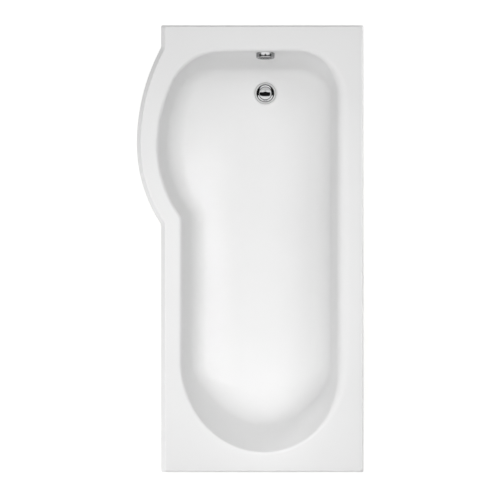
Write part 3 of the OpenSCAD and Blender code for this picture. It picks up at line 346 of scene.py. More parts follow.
def turned(name, a, b, rough):
    """Metal with the fine rings that a tool leaves round the upright axis."""
    m = Surface(name, Metallic=1.0)
    rings = m.noise(1.0, 3, 0.6, m.stretch((2, 2, 1800)))
    m.set("Base Color", m.ramp(m.noise(40, 3), [(0.3, a), (0.7, b)]))
    m.set("Roughness", m.span(rings, rough - 0.06, rough + 0.08))
    m.bump(rings, 0.15, 0.0001)
    return m.mat


def plastic(name, a, b, rough, grain=900, bump=0.12, shade=None):
    """Moulded plastic or rubber of a colour between a and b. Shade makes a colour to multiply it by."""
    m = Surface(name, IOR=1.47)
    tint = m.ramp(m.noise(26, 3), [(0.3, a), (0.7, b)])
    m.set("Base Color", m.times(tint, shade(m)) if shade else tint)
    m.set("Roughness", m.span(m.noise(grain * 0.3, 3), rough - 0.06, rough + 0.08))
    m.bump(m.noise(grain, 2), bump, 0.0003)
    return m.mat


def painted_rim_shade(m):
    """Painted shade: darkens the thin outer rim of a ring round the waste, where the recess lies in shade."""
    rim_from, rim_to = 0.0387, 0.0394
    out = [m.math("POWER", m.math("SUBTRACT", a, float(b) * MM), 2.0) for a, b in zip(m.split(m.co), WASTE)]
    rim = m.span(m.math("SQRT", m.math("ADD", *out)), 0, 1, rim_from, rim_to)
    return m.ramp(rim, [(0.0, (1, 1, 1)), (1.0, (0.45, 0.45, 0.45))])


M = {
    "acrylic": acrylic(),
    "glass_fibre": glass_fibre(),
    "chipboard": chipboard(),
    "plywood": plywood(),
    "galvanised": galvanised(),
    "zinc": zinc(),
    "chrome": chrome(),
    "brass": turned("brass_turned", (0.70, 0.52, 0.22), (0.80, 0.62, 0.30), 0.25),
    "spring_steel": turned("spring_wire", (0.58, 0.59, 0.61), (0.68, 0.69, 0.71), 0.3),
    "foot_plastic": plastic("foot_plastic_black", (0.020, 0.020, 0.022), (0.032, 0.032, 0.034), 0.45),
    "seal_rubber": plastic("seal_rubber_black", (0.018, 0.018, 0.019), (0.030, 0.030, 0.031), 0.7, 700, 0.25),
    # The grey washer gets painted shade on its outer rim
    "seal_grey": plastic("seal_washer_grey", (0.61, 0.61, 0.61), (0.66, 0.66, 0.66), 0.6, 700, 0.2, painted_rim_shade),
    "fitting_plastic": plastic("fitting_plastic_white", (0.80, 0.80, 0.775), (0.85, 0.85, 0.83), 0.38),
    "softwood": softwood("softwood_along_y", (34.0, 3.0, 34.0)),
    "softwood_x": softwood("softwood_along_x", (3.0, 34.0, 34.0)),
}
OTHER_LOOKS = {"head_batten": "softwood_x", "foot_batten": "softwood_x", "waste_seal_upper": "seal_grey"}
slots = {s["node"]: s["material_slot"] for s in frame["record"]["subparts"]}
for name, o in frame["nodes"].items():
    o.data.materials.clear()
    o.data.materials.append(M[OTHER_LOOKS.get(name, slots[name])])


# Mesh helpers ------------------------------------------------------------------------
def add(name, shape, slot, sharp, node=None, body="bath"):
    """A smooth piece from vertices in millimetres and faces, in the material of its slot."""
    verts, faces = shape
    me = bpy.data.meshes.new(name)
    me.from_pydata([tuple(float(c) * MM for c in v) for v in verts], [], faces)
    me.validate()
    bm = bmesh.new()
    bm.from_mesh(me)
    bmesh.ops.recalc_face_normals(bm, faces=bm.faces)
    bm.to_mesh(me)
    bm.free()
    me.shade_smooth()
    me.set_sharp_from_angle(angle=rad(sharp))
    me.materials.append(M[slot])
    o = bpy.data.objects.new(name, me)
    scene.collection.objects.link(o)
    if body:
        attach(o, body)
    if node:
        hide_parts(node)
    return o


def at(x, y, z=0.0):
    return Matrix.Translation((x, y, z))


def move(shape, matrix):
    verts, faces = shape
    return [matrix @ Vector(v) for v in verts], faces


def loop_faces(m, n, closed=True):
    """Four sided faces between m rings of n vertices."""
    rows = range(m if closed else m - 1)
    return [(j * n + i, ((j + 1) % m) * n + i, ((j + 1) % m) * n + (i + 1) % n, j * n + (i + 1) % n)
            for j in rows for i in range(n)]


def capped_faces(m, n):
    """The same for an open row of rings, with a face across each end."""
    return loop_faces(m, n, closed=False) + [tuple(range(n)), tuple(range((m - 1) * n, m * n))]


def lathe(profile, steps):
    """Closed profile of (radius, height) turned round Z. Points on the axis share one vertex."""
    verts, ids = [], []
    for r, z in profile:
        if r < 1e-6:
            ids.append([len(verts)] * steps)
            verts.append((0, 0, z))
        else:
            ids.append(list(range(len(verts), len(verts) + steps)))
            verts += [(r * math.cos(2 * math.pi * i / steps), r * math.sin(2 * math.pi * i / steps), z)
                      for i in range(steps)]
    faces = []
    for j, a in enumerate(ids):
        b = ids[(j + 1) % len(ids)]
        for i in range(steps):
            f = [a[i], b[i], b[(i + 1) % steps], a[(i + 1) % steps]]
            f = [v for k, v in enumerate(f) if v not in f[:k]]
            if len(f) > 2:
                faces.append(f)
    return verts, faces


def cylinder(radius, z0, z1):
    return lathe([(0, z0), (radius, z0), (radius, z1), (0, z1)], 64)


def box(lo, hi):
    return ([(x, y, z) for x in (lo[0], hi[0]) for y in (lo[1], hi[1]) for z in (lo[2], hi[2])],
            [(0, 1, 3, 2), (4, 6, 7, 5), (0, 4, 5, 1), (2, 3, 7, 6), (0, 2, 6, 4), (1, 5, 7, 3)])


def merge(parts):
    verts, faces = [], []
    for v, f in parts:
        k = len(verts)
        verts += [tuple(p) for p in v]
        faces += [[i + k for i in q] for q in f]
    return verts, faces


def arc(cx, cy, r, a0, a1, n):
    """Points on an arc, angles in degrees from the +X direction."""
    return [(cx + r * math.cos(rad(a0 + (a1 - a0) * i / n)), cy + r * math.sin(rad(a0 + (a1 - a0) * i / n)))
            for i in range(n + 1)]


def smooth_profile(points, radii, n=5):
    """Rounds the corners of a closed profile: one radius for each point, zero keeps it sharp."""
    near_half = 0.49
    out, m = [], len(points)
    for i, (p, r) in enumerate(zip(points, radii)):
        p, a, b = np.array(p, float), np.array(points[i - 1], float), np.array(points[(i + 1) % m], float)
        if r <= 0:
            out.append(tuple(p))
            continue
        u, w = a - p, b - p
        lu, lw = np.linalg.norm(u), np.linalg.norm(w)
        k = min(r, near_half * lu, near_half * lw)
        s, e = p + u / lu * k, p + w / lw * k
        out += [tuple((1 - t) ** 2 * s + 2 * t * (1 - t) * p + t * t * e) for t in np.linspace(0, 1, n + 1)]
    return out


def cut(o, shape, matrix):
    """Takes a closed shape away from a piece."""
    verts, faces = move(shape, matrix)
    me = bpy.data.meshes.new("cut")
    me.from_pydata([tuple(c * MM for c in v) for v in verts], [], faces)
    tool = bpy.data.objects.new("cut", me)
    scene.collection.objects.link(tool)
    md = o.modifiers.new("cut", "BOOLEAN")
    md.operation, md.object, md.solver = "DIFFERENCE", tool, "EXACT"
    bpy.context.view_layer.update()
    new = bpy.data.meshes.new_from_object(o.evaluated_get(bpy.context.evaluated_depsgraph_get()))
    o.modifiers.clear()
    o.data = new
    bpy.data.objects.remove(tool)
    new.set_sharp_from_angle(angle=rad(40))


# Plan geometry -----------------------------------------------------------------------
def direction(a):
    return np.array([math.cos(rad(a)), math.sin(rad(a))])


def angle(y, x):
    return math.degrees(math.atan2(y, x))


def ease(t):
    return t * t * (3 - 2 * t)


def mixed(a, b, t):
    return a + (b - a) * t


def lerp(a, b, n):
    a, b = np.array(a, float), np.array(b, float)
    return [a + (b - a) * i / n for i in range(n)]


def bend(c, r, a0, a1, n):
    return [np.array(c, float) + r * direction(a0 + (a1 - a0) * i / n) for i in range(n)]


def by_angle(d, a0, a1, n):
    """Places on a straight line at the distance d, at even angles as seen from the waste."""
    return [d * math.tan(rad(a0 + (a1 - a0) * i / n)) for i in range(n)]


# Centres and angles of the rim's arcs and of the basin's
neck_x = X_FRONT - NECK_R
bow_head_c, bow_foot_c = (X_BOW + BOW_HEAD_R, Y_APEX), (X_BOW + BOW_FOOT_R, Y_APEX)
neck_head_dy = math.sqrt((BOW_HEAD_R + NECK_R) ** 2 - (bow_head_c[0] - neck_x) ** 2)
neck_foot_dy = math.sqrt((BOW_FOOT_R + NECK_R) ** 2 - (bow_foot_c[0] - neck_x) ** 2)
neck_head_a = angle(neck_head_dy, bow_head_c[0] - neck_x)
neck_foot_a = angle(neck_foot_dy, bow_foot_c[0] - neck_x)
bowl_head_c, bowl_foot_c = (IN_BOW + BOWL_HEAD_R, Y_BOWL), (IN_BOW + BOWL_FOOT_R, Y_BOWL)
turn_c_y = IN_HEAD - CORNER_FRONT
turn_a = math.degrees(math.asin((turn_c_y - Y_BOWL) / (BOWL_HEAD_R - CORNER_FRONT)))
turn_c = (bowl_head_c[0] - (BOWL_HEAD_R - CORNER_FRONT) * math.cos(rad(turn_a)), turn_c_y)
bowl_neck_x = IN_FRONT - BOWL_NECK
bowl_neck_dy = math.sqrt((BOWL_FOOT_R + BOWL_NECK) ** 2 - (bowl_foot_c[0] - bowl_neck_x) ** 2)
bowl_neck_a = angle(bowl_neck_dy, bowl_foot_c[0] - bowl_neck_x)
y_neck = Y_BOWL - bowl_neck_dy
corner_c = (IN_WALL - CORNER_WALL, IN_HEAD - CORNER_WALL)
foot_c = ((IN_WALL + IN_FRONT) / 2, IN_FOOT + FOOT_ROUND)
foot_half = (IN_WALL - IN_FRONT) / 2

# Points of each stretch, FINER times as many as in the source
FINER = 4
N_WALL, N_CORNER, N_HEAD, N_TURN, N_BOW, N_NECK, N_FRONT, N_FOOT = [
    FINER * n for n in (11, 9, 14, 10, 7, 4, 4, 26)]
N_LIP, N_SIDE = 4 * FINER, 3 * FINER
floor_dx, floor_dy = IN_WALL - S_WALL[0] - WX, IN_HEAD - S_HEAD[0] - WY
wall_y = [WY + v for v in by_angle(
    floor_dx, angle(foot_c[1] - WY, floor_dx), angle(corner_c[1] - WY, floor_dx), N_WALL)]
head_x = [WX - v for v in by_angle(
    floor_dy, -angle(corner_c[0] - WX, floor_dy), -angle(turn_c[0] - WX, floor_dy), N_HEAD)]


def foot_section(p, v, s):
    """The section s, made as wide as the half ellipse of the floor's foot end asks for."""
    a, b, q = foot_half - s[0], FOOT_ROUND - S_FOOT[0], p - np.array(foot_c)
    qa = (v[0] / a) ** 2 + (v[1] / b) ** 2
    qb = q[0] * v[0] / a / a + q[1] * v[1] / b / b
    qc = (q[0] / a) ** 2 + (q[1] / b) ** 2 - 1
    d = (-qb - math.sqrt(max(0.0, qb * qb - qa * qc))) / qa
    t = (d - s[0]) / (S_FOOT[0] - s[0])
    return np.append(d, mixed(s, S_FOOT, t)[1:])


# Round the basin's edge: point, inward direction and section
stations = [((IN_WALL, y), (-1, 0), S_WALL) for y in wall_y]
for i in range(N_CORNER):
    d = direction(90 * i / N_CORNER)
    stations.append((np.array(corner_c) + CORNER_WALL * d, -d, mixed(S_WALL, S_HEAD, ease(i / N_CORNER))))
stations += [((x, IN_HEAD), (0, -1), S_HEAD) for x in head_x]
for i in range(N_TURN):
    d = direction(90 + (90 - turn_a) * i / N_TURN)
    stations.append((np.array(turn_c) + CORNER_FRONT * d, -d, mixed(S_HEAD, S_BOW, ease(i / N_TURN))))
for i in range(N_BOW):
    d = direction(180 - turn_a + turn_a * i / N_BOW)
    stations.append((np.array(bowl_head_c) + BOWL_HEAD_R * d, -d, S_BOW))
for i in range(N_BOW):
    d = direction(180 + bowl_neck_a * i / N_BOW)
    stations.append((np.array(bowl_foot_c) + BOWL_FOOT_R * d, -d, mixed(S_BOW, S_FRONT, ease(i / N_BOW) / 2)))
for i in range(N_NECK):
    d = direction(bowl_neck_a * (1 - i / N_NECK))
    stations.append((np.array((bowl_neck_x, y_neck)) + BOWL_NECK * d, d,
                     mixed(S_BOW, S_FRONT, (1 + ease(i / N_NECK)) / 2)))
stations += [((IN_FRONT, mixed(y_neck, foot_c[1], i / N_FRONT)), (1, 0), S_FRONT) for i in range(N_FRONT)]
for i in range(N_FOOT):
    a = 180 + 180 * i / N_FOOT
    c, s = direction(a)
    p = np.array(foot_c) + np.array([foot_half * c, FOOT_ROUND * s])
    v = -np.array([c / foot_half, s / FOOT_ROUND])
    v /= np.linalg.norm(v)
    stations.append((p, v, foot_section(p, v, S_FRONT if a < 270 else S_WALL)))
P, V, S = [np.array([s[k] for s in stations], float) for k in range(3)]
N = len(stations)


def rim_ring(e, rc):
    """The outline with corner radius rc, moved in by e at the front, the wall, the head and the foot."""
    xf, xw, yh, yf = X_FRONT + e[0], X_WALL - e[1], Y_HEAD - e[2], Y_FOOT + e[3]
    neck_h, neck_f = (neck_x, Y_APEX + neck_head_dy), (neck_x, Y_APEX - neck_foot_dy)
    n_rest, n_end = N_CORNER - N_LIP - N_SIDE, N_FOOT // 2 - N_LIP - N_SIDE
    n_bow = N_TURN - N_SIDE - N_LIP
    straight = n_bow // 4
    pts = ([np.array((xw, y)) for y in wall_y] + lerp((xw, corner_c[1]), (xw, yh - rc), N_SIDE)
           + bend((xw - rc, yh - rc), rc, 0, 90, N_LIP) + lerp((xw - rc, yh), (corner_c[0], yh), n_rest)
           + [np.array((x, yh)) for x in head_x] + lerp((turn_c[0], yh), (xf + rc, yh), N_SIDE)
           + bend((xf + rc, yh - rc), rc, 90, 180, N_LIP) + lerp((xf, yh - rc), (xf, neck_h[1]), straight))
    pts += bend(neck_h, NECK_R + e[0], 0, -neck_head_a, n_bow - straight)
    pts += bend(bow_head_c, BOW_HEAD_R - e[0], 180 - neck_head_a, 180, N_BOW)
    pts += bend(bow_foot_c, BOW_FOOT_R - e[0], 180, 180 + neck_foot_a, N_BOW)
    pts += bend(neck_f, NECK_R + e[0], neck_foot_a, 0, N_NECK)
    pts += lerp((xf, neck_f[1]), (xf, foot_c[1]), N_FRONT) + lerp((xf, foot_c[1]), (xf, yf + rc), N_SIDE)
    pts += bend((xf + rc, yf + rc), rc, 180, 270, N_LIP) + lerp((xf + rc, yf), (foot_c[0], yf), n_end)
    pts += lerp((foot_c[0], yf), (xw - rc, yf), n_end) + bend((xw - rc, yf + rc), rc, 270, 360, N_LIP)
    pts += lerp((xw, yf + rc), (xw, foot_c[1]), N_SIDE)
    return np.array(pts)


def lift(ring, z):
    return np.column_stack([ring, np.broadcast_to(z, (len(ring),))])


def floor_z(p):
    """Height of the floor: level round the waste, then rising away from it and to both sides."""
    e = np.maximum(0, np.linalg.norm(p - WASTE, axis=1) - LEVEL_R)
    side = ((p[:, 0] - WX) / DISH_HALF) ** 2
    return FLOOR + FALL * e * e / (e + LEVEL_R) + DISH * side * e / (e + 2 * LEVEL_R)


# At each station: edge of the floor, height and slope of the wall, and the ray from the waste
edge_p = P + S[:, :1] * V
UP = S[:, 3]
WALL_H = (RIM - floor_z(edge_p)) / UP
both_r = S[:, 1] + S[:, 2]
STEEP = np.arctan2(WALL_H - both_r, S[:, 0]) + np.arcsin(both_r / np.hypot(S[:, 0], WALL_H - both_r))
RAY = edge_p - WASTE
REACH = np.linalg.norm(RAY, axis=1)
RAY = RAY / REACH[:, None]


def skin_rings(t, n_edge=14, n_wall=8, n_cove=18):
    """Rings down the wall on the face that lies t behind the finished face."""
    re, rc, d = S[:, 1], S[:, 2], S[:, 0]

    def behind(x, z, a):
        m = np.hypot(UP * np.sin(a), np.cos(a))
        return x - t * UP * np.sin(a) / m, UP * z - t * np.cos(a) / m

    high = []
    for k in range(n_edge + 1):
        a = STEEP * k / n_edge
        high.append(behind(re * np.sin(a), -re + re * np.cos(a), a))
    low = []
    for k in range(n_cove + 1):
        a = STEEP * (1 - k / n_cove)
        low.append(behind(d - rc * np.sin(a), -WALL_H + rc - rc * np.cos(a), a))
    a, b = high[-1], low[0]
    wall = [(mixed(a[0], b[0], k / n_wall), mixed(a[1], b[1], k / n_wall)) for k in range(1, n_wall)]
    return [np.column_stack([P + V * q[:, None], RIM + z]) for q, z in high + wall + low]


def on_ray(d):
    return WASTE + RAY * np.broadcast_to(d, (N,))[:, None]


def near_reach(m, share):
    """Distance m outside the recess, or a share of the floor where that is less."""
    return RECESS_R + np.minimum(m, share * (REACH - RECESS_R))


def floor_rings(t, first, last, n=22):
    """Rings from the edge of the floor inward, evenly spaced from reach first to reach last."""
    out = []
    for k in range(1, n + 1):
        p = on_ray(first + (last - first) * k / n)
        out.append(lift(p, floor_z(p) - t))
    return out


# Bath shell: up the lip, over the rim, down to the waste and back along the hidden face ---
LIP_RINGS, ROUND_RINGS = 5, 6
BEVEL_HIGH, BEVEL_SHARE = 1.0, 0.008
ROUND_SHARE = LIP_ROUND / LIP_DEPTH
IN_CORNER = LIP_CORNER - 4
lip_in = FLARE + SKIN
lip_low = RIM - LIP_DEPTH
rings = [lift(rim_ring(np.full(4, LIP_BEVEL), LIP_CORNER), lip_low),
         lift(rim_ring(FLARE * BEVEL_SHARE, LIP_CORNER), lip_low + BEVEL_HIGH)]
for k in range(1, LIP_RINGS):
    t = k / LIP_RINGS * (1 - ROUND_SHARE)
    rings.append(lift(rim_ring(FLARE * t, LIP_CORNER), lip_low + LIP_DEPTH * t))
for k in range(ROUND_RINGS + 1):
    a = rad(90 * k / ROUND_RINGS)
    e = FLARE * (1 - ROUND_SHARE * (1 - math.sin(a))) + LIP_ROUND * (1 - math.cos(a))
    rings.append(lift(rim_ring(e, LIP_CORNER), RIM - LIP_ROUND * (1 - math.sin(a))))
rings += skin_rings(0)
rings += floor_rings(0, REACH, RECESS_R + 1.0)

# The rounded step into the recess: radius and drop
recess_step = ((45.2, 0), (44.6, 0.2), (44, 0.75), (43, 1.65), (42, 2.5), (41.2, 3), (40, 3.5),
               (38.5, RECESS_D))
rings += [lift(on_ray(r), FLOOR - drop) for r, drop in recess_step]
HOLE_BEVEL = 0.5
recess_low = RECESS_Z - SKIN
hidden_reach = near_reach(RECESS_SLOPE, 0.2)
rings += [lift(on_ray(r), z) for r, z in (
    (WASTE_HOLE + HOLE_BEVEL, RECESS_Z), (WASTE_HOLE, RECESS_Z - HOLE_BEVEL), (WASTE_HOLE, recess_low),
    (RECESS_R - RECESS_SLOPE, recess_low), (hidden_reach, FLOOR - SKIN))]
rings += floor_rings(SKIN, hidden_reach, REACH, 12)[:-1]
rings += list(reversed(skin_rings(SKIN)))
rings.append(lift(rim_ring(lip_in, IN_CORNER), RIM - SKIN))
rings.append(lift(rim_ring(np.full(4, SKIN), IN_CORNER), lip_low + LIP_BEVEL / 2))
rings.append(lift(rim_ring(np.full(4, SKIN - LIP_BEVEL), IN_CORNER), lip_low))
shell = add("bath_shell_smooth", (np.vstack(rings), loop_faces(len(rings), N)), "acrylic", 50, "bath_shell")

# Glass fibre: along the hidden face, then back by way of the level bed for the base board
BED_EDGE, BED_BEVEL = 2.0, 1.0
COARSE = (6, 4, 10)
bed_reach = REACH - np.minimum(BED_MARGIN, 0.3 * (REACH - RECESS_R))
rings = [lift(rim_ring(lip_in, IN_CORNER), RIM - SKIN)]
rings += skin_rings(SKIN, *COARSE) + floor_rings(SKIN, REACH, hidden_reach, 10)
rings.append(lift(on_ray(near_reach(2 * RECESS_SLOPE, 0.4)), BED_Z))
rings.append(lift(on_ray(bed_reach - BED_EDGE), BED_Z))
rings.append(lift(on_ray(bed_reach), BED_Z + BED_BEVEL))
rings += list(reversed(skin_rings(SKIN + BACK, *COARSE)))
rings.append(lift(rim_ring(lip_in, IN_CORNER), RIM - SKIN - BACK))
backing = add("backing_smooth", (np.vstack(rings), loop_faces(len(rings), N)), "glass_fibre", 50,
              "fibreglass_backing")

# Waste flange: rounded edge, crest, shallow dish, rounded mouth, tube, bars and hub -----
DISH_OUT, DISH_IN, DISH_TOP, DISH_FALL = 30.2, 24.6, 2.385, 1.45
MOUTH_C, MOUTH_ROUND, MOUTH_LOW = (24.8, -0.34), 1.2, -2.5
edge = arc(FLANGE_R - FLANGE_ROUND, FLANGE_T - FLANGE_ROUND, FLANGE_ROUND, 0, 88, 10)
crest = [(32.3, FLANGE_T), (31.7, 2.575), (31.1, 2.515), (30.4, 2.42)]
dish = [(mixed(DISH_OUT, DISH_IN, t), DISH_TOP - DISH_FALL * (0.8 * t + 0.2 * t * t))
        for t in np.linspace(0, 1, 14)]
mouth = arc(*MOUTH_C, MOUTH_ROUND, 117, 177, 8)
face = edge + crest + dish + mouth
profile = smooth_profile(
    [(TUBE_IN, -TUBE), (TUBE_OUT, -TUBE), (TUBE_OUT, 0), (FLANGE_R - 0.4, 0), (FLANGE_R, 0.35)]
    + face + [(TUBE_IN, MOUTH_LOW)],
    [0.4, 0.6, 0, 0, 0.3] + [0] * len(face) + [0.8])
bar = box((BAR_IN, -BAR_WIDE / 2, -BAR_HIGH / 2), (BAR_OUT, BAR_WIDE / 2, BAR_HIGH / 2))
hub = [(HUB_IN, -TUBE), (HUB_OUT, -TUBE), (HUB_OUT, HUB - TUBE), (HUB_IN, HUB - TUBE)]
parts = [lathe(profile, 160), lathe(hub, 64)]
for k in range(BARS):
    parts.append(move(bar, Matrix.Rotation(2 * math.pi * k / BARS, 4, "Z") @ at(0, 0, HUB / 2 - TUBE)))
add("waste_flange_smooth", move(merge(parts), at(WX, WY, FLANGE_Z)), "chrome", 40, "waste_flange")

# Click plug: one smooth dome over a skirt with a groove for its ring, and a stem --------
DOME_R = (PLUG_R ** 2 + PLUG_DOME ** 2) / (2 * PLUG_DOME)
dome_a = math.asin(PLUG_R / DOME_R)
dome = [(DOME_R * math.sin(a), PLUG_SIDE + DOME_R * (math.cos(a) - math.cos(dome_a)))
        for a in np.linspace(dome_a * 0.97, 0, 28)]
SKIRT, SKIRT_R, GROOVE_R, GROOVE_LOW, GROOVE_TOP, TIP_R = 6.0, 19.5, 18.5, 4.2, 1.4, 2.6
stem_low, collar_top = CHAMBER + 0.5 - PLUG_Z, -COLLAR_DROP
collar_low = collar_top - COLLAR_T
profile = smooth_profile(
    [(0, stem_low), (TIP_R, stem_low), (TIP_R, collar_low), (COLLAR_R, collar_low), (COLLAR_R, collar_top),
     (STEM_R, collar_top), (STEM_R, -SKIRT), (SKIRT_R, -SKIRT), (SKIRT_R, -GROOVE_LOW),
     (GROOVE_R, -GROOVE_LOW), (GROOVE_R, -GROOVE_TOP), (SKIRT_R, -GROOVE_TOP), (SKIRT_R, 0),
     (PLUG_R - 0.6, 0), (PLUG_R, 0.6), (PLUG_R, PLUG_SIDE - 0.05)] + dome,
    [0, 0.4, 0, 0.4, 0.4, 0, 0.5, 0.5, 0, 0, 0, 0, 0.2, 0.4, 0.5, 0.5] + [0] * len(dome))
add("plug_smooth", move(lathe(profile, 160), at(WX, WY, PLUG_Z)), "chrome", 40, "plug", "plug_body")

# Spring round the stem, from the chamber up to the plug's collar -------------------------------
CURL_STEPS, WIRE_SIDES, SPRING_GAP = 28, 10, 0.1
spring_z = CHAMBER + WIRE_R + SPRING_GAP, COLLAR - COLLAR_T - WIRE_R - SPRING_GAP
rows = CURLS * CURL_STEPS + 1
coil = []
for i in range(rows):
    a = 2 * math.pi * i / CURL_STEPS
    for b in [2 * math.pi * k / WIRE_SIDES for k in range(WIRE_SIDES)]:
        r = SPRING_R + WIRE_R * math.cos(b)
        z = mixed(*spring_z, i / (rows - 1)) + WIRE_R * math.sin(b)
        coil.append((WX + r * math.cos(a), WY + r * math.sin(a), z))
spring = add("plug_spring_wire", (coil, capped_faces(rows, WIRE_SIDES)), "spring_steel", 60,
             "plug_spring", None)
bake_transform(spring)

# Overflow frame: z into the basin, y up the head wall ------------------------------------
head_run, head_edge, head_cove = S_HEAD[:3]
head_rounds = head_edge + head_cove
head_h = DEPTH - head_rounds
HEAD_STEEP = math.atan2(head_h, head_run) + math.asin(head_rounds / math.hypot(head_run, head_h))
edge_h = head_edge * (1 - math.cos(HEAD_STEEP))
seat_s = head_edge * math.sin(HEAD_STEEP) + (OVERFLOW_DROP - edge_h) / math.tan(HEAD_STEEP)
SEAT = Vector((WX, IN_HEAD - seat_s, RIM - OVERFLOW_DROP))
OVER = Matrix.Translation(SEAT) @ Matrix.Rotation(HEAD_STEEP, 4, "X")

# Overflow cover: a barrel sided cup with a water slot underneath and a hole for its screw
face_r = COVER_R - COVER_BARREL - COVER_ROUND
face_z = COVER_DEPTH - COVER_RISE
side_h = face_z - COVER_ROUND
face = [(0, COVER_DEPTH)] + [(r, face_z + COVER_RISE * (1 - (r / face_r) ** 2))
                             for r in np.linspace(2, face_r, 12)]
barrel = [(COVER_R - COVER_BARREL * t * t, side_h * t) for t in np.linspace(1, 0, 14)]
hollow = [(33.4, 0), (33.4, 4), (31.4, 14.2), (29.8, 15.8), (7, 16.4), (7, 0), (0, 0)]
cover = lathe(face + arc(face_r, side_h, COVER_ROUND, 84, 4, 8) + barrel + hollow, 160)
cup = add("overflow_cover_smooth", move(cover, OVER), "chrome", 40, "overflow_cover")
WATER_SLOT = (-16, -36, -1), (16, -28, 7)
SCREW_R, HEAD_R, HEAD_LOW = 2.7, 5.0, 16.8
for o in (shell, backing):
    cut(o, cylinder(OVERFLOW_HOLE, -20, 20), OVER)
cut(cup, box(*WATER_SLOT), OVER)
cut(cup, cylinder(SCREW_R, -1, 20), OVER)
cut(cup, cylinder(HEAD_R, HEAD_LOW, 21), OVER)


# Threads -----------------------------------------------------------------------------
def thread(radius, root, pitch, z0, z1, x, y, steps=28, per=5, taper=1.2):
    """One thread round (x, y), in rings of steps vertices, per rings to a turn, tapered at both ends."""
    rows = int((z1 - z0) / pitch * per) + 1
    verts = []
    for j in range(rows):
        z = z0 + (z1 - z0) * j / (rows - 1)
        lead = min(1.0, (z - z0) / taper, (z1 - z) / taper)
        for i in range(steps):
            t = (z / pitch - i / steps) % 1.0
            h = min(1.0, max(0.0, abs(2 * t - 1) * FLANK - ROOT_FLAT))
            r = root + (radius - root) * h * lead
            a = 2 * math.pi * i / steps
            verts.append((x + r * math.cos(a), y + r * math.sin(a), z))
    return verts, capped_faces(rows, steps)


RODS = {
    "head_front": (IN_BOW + FOOT_IN, FEET_HEAD, ROD_TOP),
    "head_wall": (IN_WALL - FOOT_IN, FEET_HEAD, ROD_TOP),
    "foot_front": (IN_FRONT + FOOT_IN, FEET_FOOT, ROD_TOP),
    "foot_wall": (IN_WALL - FOOT_IN, FEET_FOOT, ROD_TOP),
    "centre": CENTRE_FOOT,
}
for name, (x, y, top) in RODS.items():
    add("rod_" + name + "_thread", thread(*ROD_THREAD, ROD_LOW, top, x, y), "zinc", 75,
        "rod_" + name, "foot_" + name)

# Tail of the waste body, for the trap's nut
add("waste_tail_thread", thread(*TAIL_THREAD, TAIL_LOW, TAIL_TOP, WX, WY, 96, 6, 2.5), "fitting_plastic", 75)

# Overflow hose: straight down behind the wall, one bend, straight into the waste body ---
HOSE_SIDES, BORE_RINGS = 36, 60
RIB = ((0.0, 0.0), (0.12, 0.15), (0.22, 0.75), (0.34, 1.0),
       (0.56, 1.0), (0.68, 0.75), (0.78, 0.15), (0.9, 0.0))
INLET_Z, INLET_Y = FLANGE_TOP - INLET_DROP, WY + INLET_OUT
hose_z = SKIN + BACK + HOSE_BEHIND
hose_from = OVERFLOW_HOLE + ELBOW_EDGE
ch, sh = math.cos(HEAD_STEEP), math.sin(HEAD_STEEP)
down = np.array([-ch, -sh])
start = np.array([SEAT.y + hose_z * sh, SEAT.z - hose_z * ch]) + hose_from * down
corner_t = (INLET_Z - start[1]) / down[1]
corner = start + corner_t * down
tangent = HOSE_BEND * math.tan(HEAD_STEEP / 2)
leg_1, leg_2 = corner_t - tangent, corner[0] - INLET_Y - tangent
arc_len = HOSE_BEND * HEAD_STEEP
HOSE = leg_1 + arc_len + leg_2
bend_c = start + leg_1 * down + HOSE_BEND * np.array([down[1], -down[0]])


def hose_at(u):
    """Place of the hose's middle (y, z) at the length u, and how far it has turned there."""
    if u <= leg_1:
        return start + u * down, 0.0
    if u >= leg_1 + arc_len:
        return np.array([INLET_Y + HOSE - u, INLET_Z]), HEAD_STEEP
    a = (u - leg_1) / HOSE_BEND
    return bend_c + HOSE_BEND * np.array([math.sin(HEAD_STEEP - a), -math.cos(HEAD_STEEP - a)]), a


def hose_ring(u, r):
    h, a = hose_at(u)
    m = (math.sin(HEAD_STEEP - a), -math.cos(HEAD_STEEP - a))
    return [(WX + r * math.cos(b), h[0] + r * math.sin(b) * m[0], h[1] + r * math.sin(b) * m[1])
            for b in [2 * math.pi * k / HOSE_SIDES for k in range(HOSE_SIDES)]]


ribs = int((HOSE - 2 * HOSE_CUFF) / RIB_PITCH)
step = (HOSE - 2 * HOSE_CUFF) / ribs
cuff = ((0.0, HOSE_ROOT), (0.6, CUFF_R), (HOSE_CUFF - 1, CUFF_R))
rings = [hose_ring(u, r) for u, r in cuff]
rings += [hose_ring(HOSE_CUFF + step * (i + t), HOSE_ROOT + RIB_HIGH * h)
          for i in range(ribs) for t, h in RIB]
rings += [hose_ring(HOSE - u, r) for u, r in reversed(cuff)]
rings += [hose_ring(HOSE * i / BORE_RINGS, HOSE_BORE) for i in range(BORE_RINGS, -1, -1)]
add("overflow_hose_ribbed", ([p for r in rings for p in r], loop_faces(len(rings), HOSE_SIDES)),
    "fitting_plastic", 60, "overflow_hose")

# Camera, straight above and far off, and the floor under the bath, in metres -------------
CAM_X, CAM_Y, CAM_H, FRAME_W, SENSOR = -0.00075, -0.0045, 80.0, 1.872, 36
FLOOR_HALF, FLOOR_GREY, FLOOR_GLOW = 14, 0.5, 0.74
cam = bpy.data.objects.new("camera", bpy.data.cameras.new("camera"))
scene.collection.objects.link(cam)
cam.location = (CAM_X, CAM_Y, CAM_H)
cam.data.lens = SENSOR * (CAM_H - RIM * MM) / FRAME_W
cam.data.clip_end = 400
scene.camera = cam
scene.view_settings.view_transform = "Standard"

floor_me = bpy.data.meshes.new("floor")
floor_me.from_pydata([(x * FLOOR_HALF, y * FLOOR_HALF, 0) for x, y in ((-1, -1), (1, -1), (1, 1), (-1, 1))],
                     [], [(0, 1, 2, 3)])
floor = bpy.data.objects.new("studio_floor", floor_me)
scene.collection.objects.link(floor)

